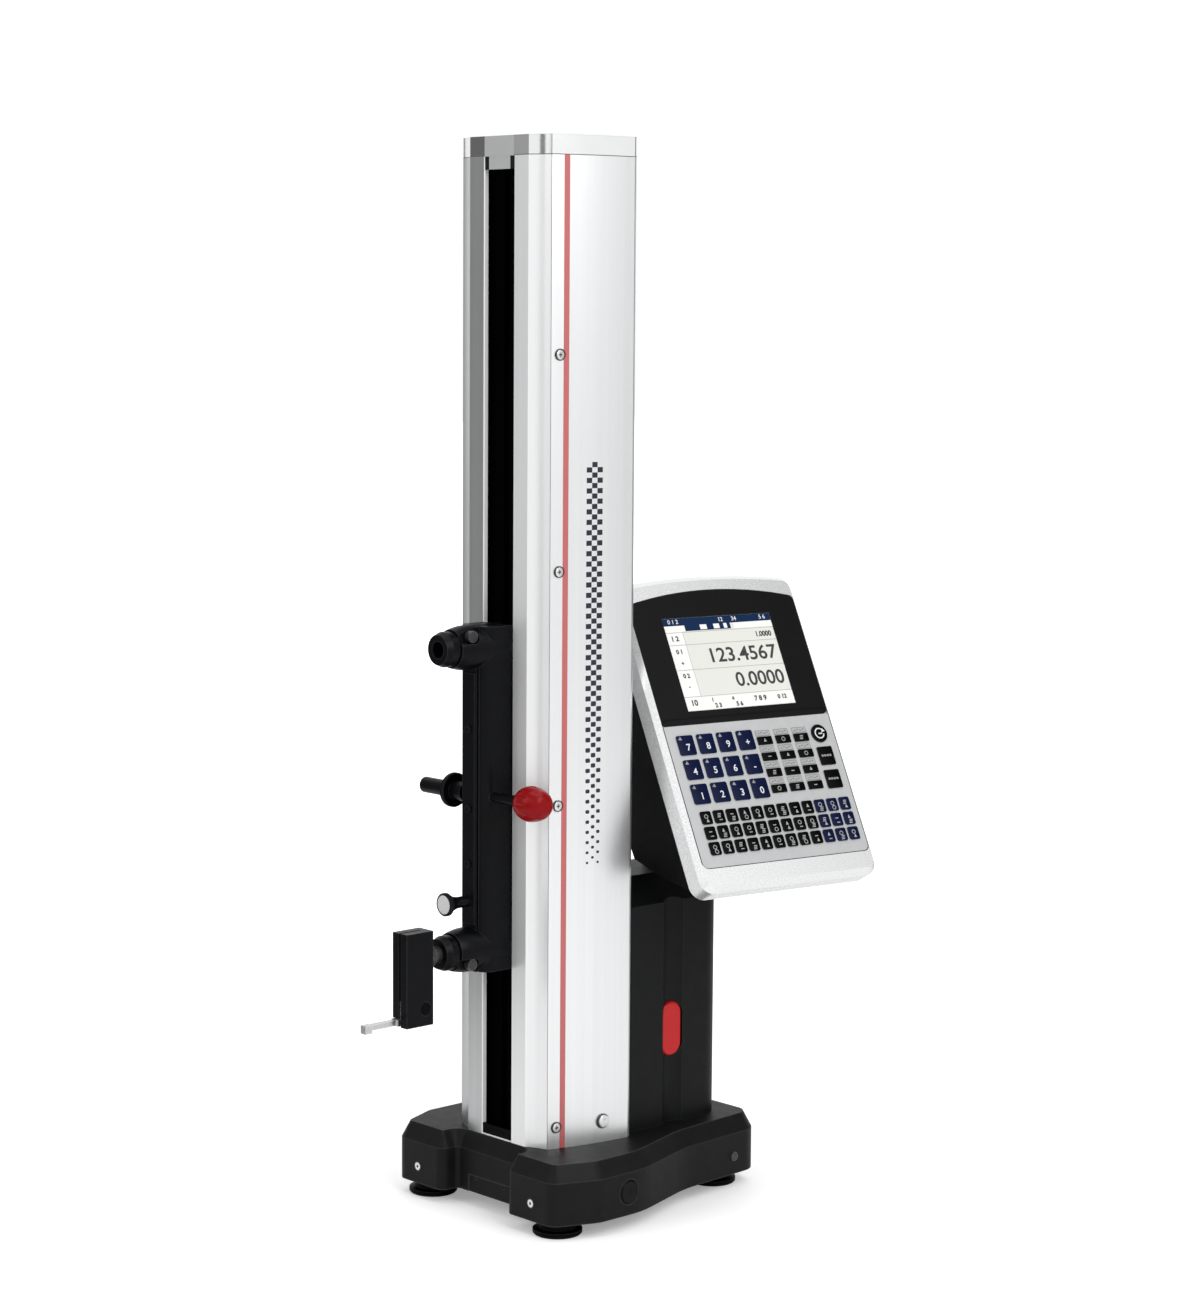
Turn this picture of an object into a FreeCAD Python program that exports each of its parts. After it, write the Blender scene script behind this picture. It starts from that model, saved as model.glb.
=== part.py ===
"""A linear height gauge on air feet: a column with a motor driven slider, a grip housing and a display head.

Machine frame, in millimetres: X across the column, Y from the column's front face to the back, Z up from the
plate that the gauge stands on. The head has a frame of its own, turned about the swivel post. At the end every
piece is moved so that the origin is under the middle of the whole gauge.
"""
import FreeCAD, Part
import math
import os
import re

import Sketcher

Vector = FreeCAD.Vector
Placement = FreeCAD.Placement
Rotation = FreeCAD.Rotation

# Driving dimensions: name, size in millimetres or degrees, what it is

SIZES = [
    ("fit_gap", 0.3, "free space between pieces that move past each other"),
    ("seat_gap", 0.2, "space between fixed pieces that lie against each other"),
    ("running_gap", 0.05, "radial play of a shaft in its bore"),
    ("foot_height", 14.2, "plate to underside of the base"),
    ("foot_radius", 23.35, "air foot"),
    ("foot_step", 5.0, "height of the wide rim of a foot"),
    ("foot_neck", 18.0, "radius of a foot above its rim"),
    ("front_foot_side", 90.25, "front feet, from the centre line"),
    ("front_foot_back", -2.7, "front feet, behind the column's face"),
    ("rear_foot_side", 65.3, "rear feet, from the centre line"),
    ("rear_foot_back", 225.4, "rear feet, behind the column's face"),
    ("base_height", 56.6, "casting, underside to top"),
    ("base_bevel_drop", 15.9, "height of the bevel round the top"),
    ("base_bevel_run", 8.5, "width of the bevel round the top"),
    ("base_side", 129.0, "half width at the shoulders"),
    ("base_shoulder_front", 16.0, "where the shoulders start"),
    ("base_shoulder_back", 70.0, "where the shoulders end"),
    ("lobe_outer", 111.0, "outer corner of a front lobe"),
    ("lobe_inner", 46.0, "inner corner of a front lobe"),
    ("lobe_front", -28.65, "front face of the lobes"),
    ("recess_back", -9.0, "wall between the lobes"),
    ("waist_side", 103.5, "half width at the waist"),
    ("waist_back", 150.0, "waist"),
    ("tail_side", 96.0, "half width at the back"),
    ("tail_back", 262.0, "rear wall"),
    ("plug_radius", 11.7, "round plug in a shoulder"),
    ("plug_back", 53.0, "plugs, behind the column's face"),
    ("base_screw_radius", 4.4, "adjusting screws in the base"),
    ("floor_plate", 3.0, "plate that closes the underside"),
    ("well_depth", 44.0, "depth of the hollow underside"),
    ("front_well_side", 100.0, "half width of the front hollow"),
    ("nose_well_side", 44.0, "half width of the hollow behind the recess"),
    ("rear_well_side", 44.0, "half width of the rear hollow"),
    ("column_height", 923.8, "extrusions, base to cap"),
    ("cap_height", 18.4, "cap on the column"),
    ("slot_half", 20.6, "half width of the slot"),
    ("slot_reveal", 5.0, "depth of the slot's bright edge"),
    ("slot_edge", 0.9, "chamfer on the slot's bright edge"),
    ("strip_half", 40.85, "outer edge of the flat front"),
    ("strip_wall", 4.0, "front strip"),
    ("flute_end_side", 61.5, "end of the fluted corner, across"),
    ("flute_end_back", 9.4, "end of the fluted corner, back"),
    ("flute_radius", 38.0, "hollow of the fluted corner"),
    ("cover_back_side", 79.7, "widest point of a side cover"),
    ("cover_back", 96.2, "where a side cover turns the corner"),
    ("cover_bow", 340.0, "radius of the bowed side"),
    ("cover_corner", 11.0, "radius of the rear corner"),
    ("cover_wall", 3.0, "side and rear covers"),
    ("column_back", 104.0, "rear face of the column"),
    ("rear_cover_half", 60.0, "half width of the rear cover"),
    ("frame_half", 57.0, "half width of the inner extrusion"),
    ("frame_wall", 6.0, "wall of the inner extrusion"),
    ("lip_gap", 4.2, "half gap between the sealing lips"),
    ("lip_thick", 2.0, "sealing lip"),
    ("neck_half", 3.6, "half thickness of the slider's neck"),
    ("rail_thick", 8.0, "guide rail"),
    ("rail_depth", 15.0, "guide rail, front to back"),
    ("rail_front", 22.0, "front face of the guide rails"),
    ("scale_thick", 5.0, "linear scale"),
    ("scale_depth", 12.0, "linear scale, front to back"),
    ("scale_front", 46.0, "front face of the linear scale"),
    ("pulley_radius", 11.5, "pulley under the belt"),
    ("pulley_back", 66.0, "axis of the pulleys"),
    ("pulley_low", 104.0, "lower pulley's height"),
    ("pulley_high", 962.0, "upper pulley's height"),
    ("pulley_width", 12.0, "pulley"),
    ("axle_radius", 3.0, "pulley axles"),
    ("belt_width", 10.0, "belt"),
    ("belt_thick", 1.2, "belt"),
    ("bracket_thick", 4.0, "cheek of a pulley bracket"),
    ("motor_radius", 19.0, "drive motor"),
    ("motor_length", 34.0, "drive motor"),
    ("weight_half", 36.0, "half width of the counterweight"),
    ("weight_depth", 31.0, "counterweight, front to back"),
    ("weight_length", 150.0, "height of the counterweight"),
    ("weight_middle", 704.0, "counterweight's height at rest"),
    ("slider_low", 238.5, "lower end of the slider's beam"),
    ("slider_high", 563.5, "upper end of the slider's beam"),
    ("slider_half", 20.0, "half width of the slider's beam"),
    ("slider_front", 34.3, "front face of the beam, before the column"),
    ("slider_face_half", 9.5, "half width of the beam's front face"),
    ("slider_inset", 3.5, "how far the beam enters the slot"),
    ("shoulder_radius", 13.0, "rounded shoulder of the beam"),
    ("carriage_middle", 404.0, "carriage's height at rest"),
    ("carriage_length", 110.0, "carriage block"),
    ("carriage_half", 36.0, "half width of the carriage block"),
    ("carriage_front", 14.5, "front face of the carriage block"),
    ("carriage_depth", 29.5, "carriage block, front to back"),
    ("upper_boss", 543.6, "axis of the upper clamp boss"),
    ("lower_boss", 259.3, "axis of the lower clamp boss"),
    ("boss_radius", 21.0, "clamp boss where it leaves the beam"),
    ("boss_tip_radius", 18.0, "clamp boss before its collar"),
    ("boss_length", 58.0, "clamp boss, before the column"),
    ("collar_radius", 16.5, "front collar"),
    ("collar_end", 73.0, "front face of the collar"),
    ("clamp_bore", 8.0, "radius of the clamp bores"),
    ("clamp_bore_end", 24.0, "bottom of the clamp bores, before the column"),
    ("clamp_screw_radius", 5.5, "head of a boss clamp screw"),
    ("clamp_screw_rise", 11.5, "clamp screw off the bore's axis"),
    ("clamp_screw_front", 44.0, "clamp screw, before the column"),
    ("rod_height", 404.0, "cross handle's height"),
    ("rod_front", 21.0, "cross handle, before the column"),
    ("rod_radius", 7.6, "black handle rod"),
    ("rod_end", 82.0, "end of the handle rod"),
    ("flange_radius", 16.5, "flange disc on the rod"),
    ("flange_side", 38.0, "flange disc, from the centre line"),
    ("flange_thick", 5.0, "flange disc"),
    ("shaft_radius", 5.0, "drive knob's shaft"),
    ("drive_knob_radius", 16.6, "drive knob"),
    ("drive_knob_near", 58.0, "drive knob's inner end"),
    ("drive_knob_far", 92.0, "drive knob's outer end"),
    ("drive_knob_dish", 1.1, "depth of the knob's finger flutes"),
    ("lock_height", 305.0, "lock knob's height"),
    ("lock_radius", 11.0, "lock knob's rim"),
    ("lock_stem", 5.35, "lock knob's stem"),
    ("lock_end", 66.0, "front face of the lock knob, before the column"),
    ("holder_half", 10.25, "half width of the probe holder"),
    ("holder_near", 86.6, "near face of the holder, before the column"),
    ("holder_far", 118.0, "front face of the holder, before the column"),
    ("holder_low", 197.0, "lower end of the holder"),
    ("holder_high", 285.0, "upper end of the holder"),
    ("holder_slit", 1.3, "half width of the holder's slit"),
    ("holder_screw_radius", 6.6, "clamp screw in the holder"),
    ("holder_screw_height", 213.0, "clamp screw in the holder"),
    ("stylus_tip", 158.0, "tip of the stylus, before the column"),
    ("stylus_half", 3.0, "half width of the stylus arm"),
    ("stylus_height", 5.0, "height of the stylus arm"),
    ("housing_half", 70.0, "half width of the grip housing"),
    ("housing_back", 235.0, "rear face of the grip housing"),
    ("housing_top", 311.0, "top of the grip housing"),
    ("housing_roof_half", 32.0, "half width of the flat roof"),
    ("housing_roof_drop", 22.0, "fall of the roof's slopes"),
    ("housing_wall", 8.0, "grip housing"),
    ("housing_corner", 26.0, "rear corner radius of the housing"),
    ("grip_flute_middle", 165.0, "middle of the grip's flute"),
    ("grip_flute_radius", 20.0, "flute in the grip"),
    ("grip_flute_depth", 5.0, "flute in the grip"),
    ("button_half", 12.9, "half width of the air button"),
    ("button_low", 137.0, "lower end of the air button"),
    ("button_high", 190.0, "upper end of the air button"),
    ("button_proud", 3.8, "air button above the flute's bottom"),
    ("button_travel", 2.5, "stroke of the air button"),
    ("door_half", 38.0, "half width of the battery door"),
    ("door_low", 92.0, "lower edge of the battery door"),
    ("door_high", 232.0, "upper edge of the battery door"),
    ("door_thick", 3.0, "battery door"),
    ("post_back", 205.0, "swivel post, behind the column's face"),
    ("post_radius", 12.0, "swivel post"),
    ("post_top", 420.0, "upper end of the swivel post"),
    ("neck_low", 358.3, "underside of the head's neck"),
    ("head_yaw", 9.36, "turn of the head towards the front"),
    ("head_tilt", 28.81, "lean of the display"),
    ("screen_out", 80.65, "screen's middle, out from the post"),
    ("screen_along", 31.3, "screen's middle, along the display from the post"),
    ("screen_height", 519.3, "screen's middle, above the plate"),
    ("screen_width", 128.0, "screen"),
    ("screen_tall", 96.0, "screen"),
    ("panel_half", 103.6, "half width of the display frame"),
    ("panel_low", 227.0, "lower edge, below the screen's middle"),
    ("panel_high", 85.0, "upper corners, above the screen's middle"),
    ("panel_arch", 770.0, "radius of the arched top"),
    ("panel_deep", 24.0, "depth of the display frame"),
    ("panel_corner", 14.0, "corner radius of the display frame"),
    ("panel_bevel", 6.0, "bevel round the front of the frame"),
    ("tray_half", 98.5, "half width of the recess in the frame"),
    ("tray_low", 204.5, "lower edge of the recess"),
    ("tray_high", 64.0, "upper corners of the recess"),
    ("tray_arch", 420.0, "radius of the recess's top"),
    ("tray_deep", 3.0, "depth of the recess in the frame"),
    ("tray_corner", 7.0, "corner radius of the recess"),
    ("bezel_low", 61.5, "lower edge of the bezel"),
    ("bezel_thick", 2.2, "bezel and keypad sheet"),
    ("frame_skin", 4.0, "front wall of the display frame"),
    ("shell_half", 94.0, "half width of the rear shell"),
    ("shell_wall", 4.0, "rear shell"),
    ("shell_edge", 3.5, "rounded edges of the shell's back"),
    ("pad_raise", 0.8, "height of the keypad's raised pads"),
]
NAMES = {name for name, size, words in SIZES}

doc = FreeCAD.newDocument("height_gauge")
sheet = doc.addObject("Spreadsheet::Sheet", "Sizes")
known = {}
pieces = []


def fill_sheet():
    """One row for each driving dimension."""
    for row, (name, size, words) in enumerate(SIZES, 1):
        sheet.set("A%d" % row, name)
        sheet.set("B%d" % row, str(size))
        sheet.set("C%d" % row, words)
        sheet.setAlias("B%d" % row, name)
    doc.recompute()


def value(words):
    """The number that a formula on the sheet comes to."""
    words = str(words)
    if words not in known:
        sheet.set("E1", "=" + words)
        sheet.recompute()
        known[words] = float(sheet.get("E1"))
    return known[words]


def linked(words):
    """The same formula for a feature outside the sheet."""
    def with_sheet(found):
        return "Sizes." + found[0] if found[0] in NAMES else found[0]
    return re.sub(r"[a-z][a-z_]*", with_sheet, str(words))


def bind(thing, prop, words):
    """Tie a property to the sheet."""
    thing.setExpression(prop, linked(words))


# Sketches and the features made from them

PLANES = {"top": "XY_Plane", "front": "XZ_Plane", "side": "YZ_Plane"}


def new_sketch(body, plane, place):
    """A sketch at the given height, depth or side position."""
    found = [o for o in body.Origin.OriginFeatures if o.Role == PLANES[plane]]
    sketch = body.newObject("Sketcher::SketchObject", body.Label + "_sketch")
    sketch.AttachmentSupport = (found[0], "")
    sketch.MapMode = "FlatFace"
    bind(sketch, "AttachmentOffset.Base.z", "-(%s)" % place if plane == "front" else place)
    return sketch


def hold_point(sketch, shape, end, point):
    """Tie one end of a line or a centre to its place."""
    for kind, words in (("DistanceX", point[0]), ("DistanceY", point[1])):
        number = sketch.addConstraint(Sketcher.Constraint(kind, -1, 1, shape, end, value(words)))
        sketch.setExpression("Constraints[%d]" % number, linked(words))


def arc_between(start, end, radius):
    """Arc from start to end; a positive radius bulges to the right of the way."""
    chord = end - start
    bulge = abs(radius) - math.sqrt(max(radius * radius - chord.Length ** 2 / 4, 0))
    side = Vector(chord.y, -chord.x, 0).normalize() * math.copysign(bulge, radius)
    return Part.Arc(start, start + chord * 0.5 + side, end)


def add_outline(sketch, points):
    """A closed outline. A point is (x, y), or (x, y, radius) where an arc leads to the next point."""
    first = sketch.GeometryCount
    places = [Vector(value(p[0]), value(p[1]), 0) for p in points]
    for number, point in enumerate(points):
        start = places[number]
        end = places[(number + 1) % len(points)]
        if len(point) == 2:
            sketch.addGeometry(Part.LineSegment(start, end))
        else:
            sketch.addGeometry(arc_between(start, end, value(point[2])))
    ends = []
    for number, point in enumerate(points):
        shape = first + number
        at_start = 1
        if len(point) == 3:
            at_start = 1 if (sketch.getPoint(shape, 1) - places[number]).Length < 1e-6 else 2
            tie = sketch.addConstraint(Sketcher.Constraint("Radius", shape, abs(value(point[2]))))
            sketch.setExpression("Constraints[%d]" % tie, linked("abs(%s)" % point[2]))
        ends.append(at_start)
    for number, point in enumerate(points):
        after = (number + 1) % len(points)
        sketch.addConstraint(Sketcher.Constraint(
            "Coincident", first + number, 3 - ends[number], first + after, ends[after]))
        hold_point(sketch, first + number, ends[number], point)


def add_circle(sketch, across, up, radius):
    """A circle at a place."""
    shape = sketch.addGeometry(Part.Circle(Vector(value(across), value(up), 0), Vector(0, 0, 1), value(radius)))
    hold_point(sketch, shape, 3, (across, up))
    tie = sketch.addConstraint(Sketcher.Constraint("Radius", shape, value(radius)))
    sketch.setExpression("Constraints[%d]" % tie, linked(radius))


def rectangle(left, low, right, high):
    """Corner points of a rectangle."""
    return [(left, low), (right, low), (right, high), (left, high)]


def draw(sketch, shapes):
    """Outlines are lists, circles are tuples."""
    for shape in shapes:
        if isinstance(shape, tuple):
            add_circle(sketch, *shape)
        else:
            add_outline(sketch, shape)


def new_body(label):
    body = doc.addObject("PartDesign::Body", label)
    body.Label = label
    pieces.append(body)
    return body


def pad(body, plane, low, high, *shapes):
    """Material between two positions along the plane's normal."""
    sketch = new_sketch(body, plane, high if plane == "front" else low)
    draw(sketch, shapes)
    feature = body.newObject("PartDesign::Pad", body.Label + "_pad")
    feature.Profile = sketch
    bind(feature, "Length", "(%s) - (%s)" % (high, low))
    return feature


def pocket(body, plane, low, high, *shapes):
    """A cut between two positions along the plane's normal."""
    sketch = new_sketch(body, plane, low if plane == "front" else high)
    draw(sketch, shapes)
    feature = body.newObject("PartDesign::Pocket", body.Label + "_pocket")
    feature.Profile = sketch
    bind(feature, "Length", "(%s) - (%s)" % (high, low))
    return feature


def turn(body, *shapes):
    """A solid of revolution about Z; the outline's points are (radius, height)."""
    sketch = new_sketch(body, "front", "0")
    draw(sketch, shapes)
    feature = body.newObject("PartDesign::Revolution", body.Label + "_turn")
    feature.Profile = sketch
    feature.ReferenceAxis = (sketch, ["V_Axis"])
    feature.Angle = 360
    return feature


def edges_where(shape, test):
    """Names of the edges whose end points and middle pass a test."""
    names = []
    for number, edge in enumerate(shape.Edges, 1):
        middle = edge.valueAt((edge.FirstParameter + edge.LastParameter) / 2)
        ends = [v.Point for v in edge.Vertexes]
        if test(middle, ends):
            names.append("Edge%d" % number)
    return names


def dress(body, kind, size, test):
    """Fillet or chamfer of the edges that pass a test."""
    doc.recompute()
    before = body.Tip
    names = edges_where(before.Shape, test)
    if not names:
        raise RuntimeError("no edges found on " + body.Label)
    feature = body.newObject("PartDesign::" + kind, body.Label + "_" + kind.lower())
    feature.Base = (before, names)
    bind(feature, "Radius" if kind == "Fillet" else "Size", size)
    return feature


def round_corners(body, size, corners, axis=2):
    """Fillet of the edges that run along an axis through given corner points."""
    across = [i for i in (0, 1, 2) if i != axis]
    wanted = [(value(a), value(b)) for a, b in corners]

    def is_corner(middle, ends):
        if len(ends) < 2 or any(abs(ends[0][i] - ends[1][i]) > 1e-4 for i in across):
            return False
        return any(math.hypot(middle[across[0]] - a, middle[across[1]] - b) < 1e-3 for a, b in wanted)
    return dress(body, "Fillet", size, is_corner)


# Primitives, booleans and groups

DIRECTIONS = {"x": Vector(1, 0, 0), "-x": Vector(-1, 0, 0), "y": Vector(0, 1, 0),
              "-y": Vector(0, -1, 0), "z": Vector(0, 0, 1), "-z": Vector(0, 0, -1)}


def put(thing, at, direction="z"):
    """Place a primitive by formulas, its own Z axis along a direction."""
    thing.Placement = Placement(Vector(0, 0, 0), Rotation(DIRECTIONS["z"], DIRECTIONS[direction]))
    for axis, words in zip("xyz", at):
        bind(thing, "Placement.Base." + axis, words)
    return thing


def block(low, high):
    """A box between two corners."""
    box = doc.addObject("Part::Box", "block")
    for prop, start, end in zip(("Length", "Width", "Height"), low, high):
        bind(box, prop, "(%s) - (%s)" % (end, start))
    return put(box, low)


def rod(at, direction, radius, length):
    cylinder = doc.addObject("Part::Cylinder", "rod")
    bind(cylinder, "Radius", radius)
    bind(cylinder, "Height", length)
    return put(cylinder, at, direction)


def joined(things):
    """Several solids as one."""
    fusion = doc.addObject("Part::MultiFuse", "joined")
    fusion.Shapes = things
    return fusion


def less(base, tools):
    cut = doc.addObject("Part::Cut", "less")
    cut.Base = base
    cut.Tool = tools[0] if len(tools) == 1 else joined(tools)
    return cut


def named(label, thing):
    """Make a boolean result a sub-part of its own."""
    thing.Label = label
    pieces.append(thing)
    return thing


def group(label, things):
    """Separate solids that share one node."""
    compound = doc.addObject("Part::Compound", label)
    compound.Links = things
    return named(label, compound)


def screw(at, direction, head_radius, head_height, shank_radius, shank_length):
    """Cheese head screw; at is the top of its head, and it points along the direction."""
    sign = -1 if direction[0] == "-" else 1
    axis = "xyz".index(direction[-1])
    seat = [words if i != axis else "(%s) + %g * (%s)" % (words, sign, head_height) for i, words in enumerate(at)]
    head = rod(at, direction, head_radius, head_height)
    shank = rod(seat, direction, shank_radius, shank_length)
    return joined([head, shank])


def mirrored(points):
    """The same outline on the other side of the centre line, run the other way round."""
    flipped = []
    for number in range(len(points) - 1, -1, -1):
        arc = points[number - 1]
        turned_point = ("-(%s)" % points[number][0], points[number][1])
        flipped.append(turned_point + tuple(arc[2:3]))
    return flipped


# Base

COLUMN_FOOT = "foot_height + base_height"
COLUMN_TOP = "foot_height + base_height + column_height"


def base_outline():
    right = [("lobe_inner", "lobe_front"), ("lobe_outer", "lobe_front"), ("base_side", "base_shoulder_front"),
             ("base_side", "base_shoulder_back"), ("waist_side", "waist_back"), ("tail_side", "tail_back")]
    left = [("-" + side, back) for side, back in reversed(right)]
    return [("-lobe_inner", "recess_back"), ("lobe_inner", "recess_back")] + right + left


def both_sides(side, back):
    return [(side, back), ("-(%s)" % side, back)]


def floor_outline(play):
    """Plate under the hollows: narrow between the feet, wide behind the front pair."""
    nose = "nose_well_side + 2 + %s" % play
    wide = "front_well_side + 4 + %s" % play
    tail = "rear_well_side + 1 + %s" % play
    right = [(nose, "-3 - %s" % play), (nose, "20 - %s" % play), (wide, "20 - %s" % play), (wide, "102"),
             (tail, "118"), (tail, "246 + %s" % play)]
    return right + [("-(%s)" % side, back) for side, back in reversed(right)]


def base_casting():
    """Cast base with two front lobes, a waist and a bevelled top, hollow underneath."""
    body = new_body("base_casting")
    pad(body, "top", "foot_height", COLUMN_FOOT, base_outline())
    for size, corner in (("9", ("lobe_inner", "lobe_front")), ("13", ("lobe_outer", "lobe_front")),
                         ("24", ("base_side", "base_shoulder_front")),
                         ("100", ("base_side", "base_shoulder_back")), ("130", ("waist_side", "waist_back")),
                         ("24", ("tail_side", "tail_back")), ("5", ("lobe_inner", "recess_back"))):
        round_corners(body, size, both_sides(*corner))
    top = value(COLUMN_FOOT)
    bevel = dress(body, "Chamfer", "base_bevel_drop", lambda middle, ends: abs(middle.z - top) < 1e-4)
    bevel.ChamferType = "Two distances"
    bind(bevel, "Size2", "base_bevel_run")
    pocket(body, "top", "foot_height", "foot_height + floor_plate", floor_outline("seat_gap"))
    pocket(body, "top", "foot_height", "foot_height + well_depth",
           rectangle("-nose_well_side", "0", "nose_well_side", "18"),
           rectangle("-front_well_side", "24", "front_well_side", "98"),
           rectangle("-rear_well_side", "122", "rear_well_side", "242"))
    pocket(body, "front", "recess_back - 1", "recess_back + 0.8",
           rectangle("-30", "foot_height - 1", "30", "foot_height + 16.6"))
    pocket(body, "front", "recess_back - 1", "recess_back + 5",
           *[(side, "foot_height + 14.2", "1.3") for side in ("20", "-20")])
    for depth, radius in (("1.2", "plug_radius + fit_gap"), ("8", "plug_radius - 2")):
        hole = ("plug_back", "foot_height + 22", radius)
        pocket(body, "side", "base_side - " + depth, "base_side + 1", hole)
        pocket(body, "side", "-(base_side + 1)", "-(base_side - %s)" % depth, hole)
    for depth, radius in (("1.8", "base_screw_radius + seat_gap"), ("11", "base_screw_radius - 1.9")):
        pocket(body, "front", "lobe_front - 1", "lobe_front + " + depth,
               *[(side, "foot_height + 17", radius) for side in ("82", "-82")])
    for reach, radius in (("1.8", "base_screw_radius + seat_gap"), ("-8", "base_screw_radius - 1.9")):
        hole = ("222", "foot_height + 18", radius)
        pocket(body, "side", "tail_side + " + reach, "tail_side + 8", hole)
        pocket(body, "side", "-(tail_side + 8)", "-(tail_side + %s)" % reach, hole)
    return body


def base_floor():
    body = new_body("base_floor")
    pad(body, "top", "foot_height", "foot_height + floor_plate - seat_gap", floor_outline("0"))


def foot_places():
    return both_sides("front_foot_side", "front_foot_back") + both_sides("rear_foot_side", "rear_foot_back")


def turned(label, at, direction, *shapes):
    """A turned piece whose axis runs along a direction; the outline's points are (radius, distance)."""
    body = new_body(label)
    turn(body, *shapes)
    put(body, at, direction)
    return body


def loose(body):
    """A body that will go into a group."""
    pieces.remove(body)
    return body


def feet():
    """Air feet: a wide rim under a narrower neck."""
    outline = [("0", "0"), ("foot_radius - 1.5", "0"), ("foot_radius", "1.5"), ("foot_radius", "foot_step"),
               ("foot_neck", "foot_step + 1.5"), ("foot_neck", "foot_height"), ("0", "foot_height")]
    return group("air_feet", [loose(turned("foot", (side, back, "0"), "z", outline))
                              for side, back in foot_places()])


def base_screws():
    """Adjusting screws in the lobes and at the back of both sides."""
    sizes = ("base_screw_radius", "2.4", "base_screw_radius - 2.1", "9")
    front = [screw((side, "lobe_front - 0.8", "foot_height + 17"), "y", *sizes) for side in ("82", "-82")]
    rear = [screw(("%s(tail_side + 4.4)" % sign, "222", "foot_height + 18"), axis, *sizes)
            for sign, axis in (("", "-x"), ("-", "x"))]
    return group("base_screws", front + rear)


def base_plugs():
    """Round plugs over the openings in both shoulders."""
    stem = "plug_radius - 2 - seat_gap"
    outline = [("0", "0"), ("plug_radius - 1.5", "0"), ("plug_radius", "1"), ("plug_radius", "2"),
               (stem, "2"), (stem, "8"), ("0", "8")]
    return group("base_plugs", [loose(turned("plug", ("%s(base_side + 1)" % sign, "plug_back",
                                                      "foot_height + 22"),
                                             axis, outline)) for sign, axis in (("", "-x"), ("-", "x"))])


# Column

def strip_outline():
    """Front strip: bright slot edge, flat face and a hollow corner flute."""
    return [("slot_half", "slot_edge"), ("slot_half + slot_edge", "0"), ("strip_half", "0", "-flute_radius"), ("flute_end_side", "flute_end_back"),
            ("flute_end_side - 0.414 * strip_wall", "flute_end_back + 0.91 * strip_wall"),
            ("strip_half - 0.85", "strip_wall"), ("slot_half + 6", "strip_wall"),
            ("slot_half + 6", "slot_reveal"), ("slot_half", "slot_reveal")]


def cover_outline():
    """Side cover: bowed side and rounded rear corner."""
    turn_in = "cover_back_side - (column_back - cover_back)"
    return [("flute_end_side + 0.5", "flute_end_back + 0.2", "cover_bow"),
            ("cover_back_side", "cover_back", "cover_corner"), (turn_in, "column_back"),
            ("rear_cover_half + seat_gap", "column_back"),
            ("rear_cover_half + seat_gap", "column_back - cover_wall"),
            (turn_in, "column_back - cover_wall", "-(cover_corner - cover_wall)"),
            ("cover_back_side - cover_wall", "cover_back", "-(cover_bow - cover_wall)"),
            ("flute_end_side - 1.4", "flute_end_back + 4.8")]


def front_strips():
    for label, outline in (("front_strip_right", strip_outline()),
                           ("front_strip_left", mirrored(strip_outline()))):
        body = new_body(label)
        pad(body, "top", COLUMN_FOOT, COLUMN_TOP, outline)


SCREW_HEIGHTS = ("91", "397", "615", "814")
SCREW_SEAT = "flute_end_side + 1.9"
SCREW_BACK = "flute_end_back + 8.6"
FIXING_SEAT = "cover_back_side - 4.4"


def side_covers():
    """Bowed covers, counterbored for their screws."""
    for label, outline, sign in (("side_cover_right", cover_outline(), ""),
                                 ("side_cover_left", mirrored(cover_outline()), "-")):
        body = new_body(label)
        pad(body, "top", COLUMN_FOOT, COLUMN_TOP, outline)
        seats = [(SCREW_BACK, height, "5.6") for height in SCREW_HEIGHTS]
        holes = [(SCREW_BACK, height, "2.6") for height in SCREW_HEIGHTS]
        far = "cover_back_side + 5"
        for low, shapes in ((SCREW_SEAT, seats), ("50", holes), (FIXING_SEAT, [("67", "91", "7.3")])):
            if sign:
                pocket(body, "side", "-(%s)" % far, "-(%s)" % low, *shapes)
            else:
                pocket(body, "side", low, far, *shapes)


def rear_cover():
    body = new_body("rear_cover")
    pad(body, "top", COLUMN_FOOT, COLUMN_TOP,
        rectangle("-rear_cover_half", "column_back - cover_wall", "rear_cover_half", "column_back"))


FLANGE_BACK = "slot_reveal + seat_gap + 4.7"
CHANNEL_BACK = "column_back - cover_wall - frame_wall - 0.3"


def column_extrusion():
    """Stiff inner channel, open at the slot, with ribs that carry the side covers."""
    body = new_body("column_extrusion")
    outer = [("slot_half + 0.4", "slot_reveal + seat_gap"), ("strip_half", "slot_reveal + seat_gap"),
             ("frame_half", "flute_end_back + 3"), ("frame_half", CHANNEL_BACK),
             ("rear_cover_half + 2", CHANNEL_BACK),
             ("rear_cover_half + 2", "column_back - cover_wall - seat_gap")]
    inner = [("frame_half - frame_wall", CHANNEL_BACK), ("frame_half - frame_wall", FLANGE_BACK + " + 5"),
             ("strip_half - 1", FLANGE_BACK), ("slot_half + 0.4", FLANGE_BACK)]
    flip = [("-(%s)" % side, back) for side, back in outer + inner]
    outline = outer + flip[:6][::-1] + flip[6:][::-1] + inner
    pad(body, "top", COLUMN_FOOT, COLUMN_TOP, outline)
    for sign in ("", "-"):
        near = "%s(frame_half - 1)" % sign
        low_rib = "%s(flute_end_side - 1.3)" % sign
        back_rib = "%s(cover_back_side - 7.9)" % sign
        pad(body, "top", COLUMN_FOOT, COLUMN_TOP, rectangle(near, "flute_end_back + 5.6", low_rib, "22"))
        pad(body, "top", COLUMN_FOOT, COLUMN_TOP, rectangle(near, "60", back_rib, "74"))
    holes = [(SCREW_BACK, height, "2.6") for height in SCREW_HEIGHTS]
    pocket(body, "side", "frame_half - 3", "flute_end_side", *holes)
    pocket(body, "side", "-flute_end_side", "-(frame_half - 3)", *holes)
    return body


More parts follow.
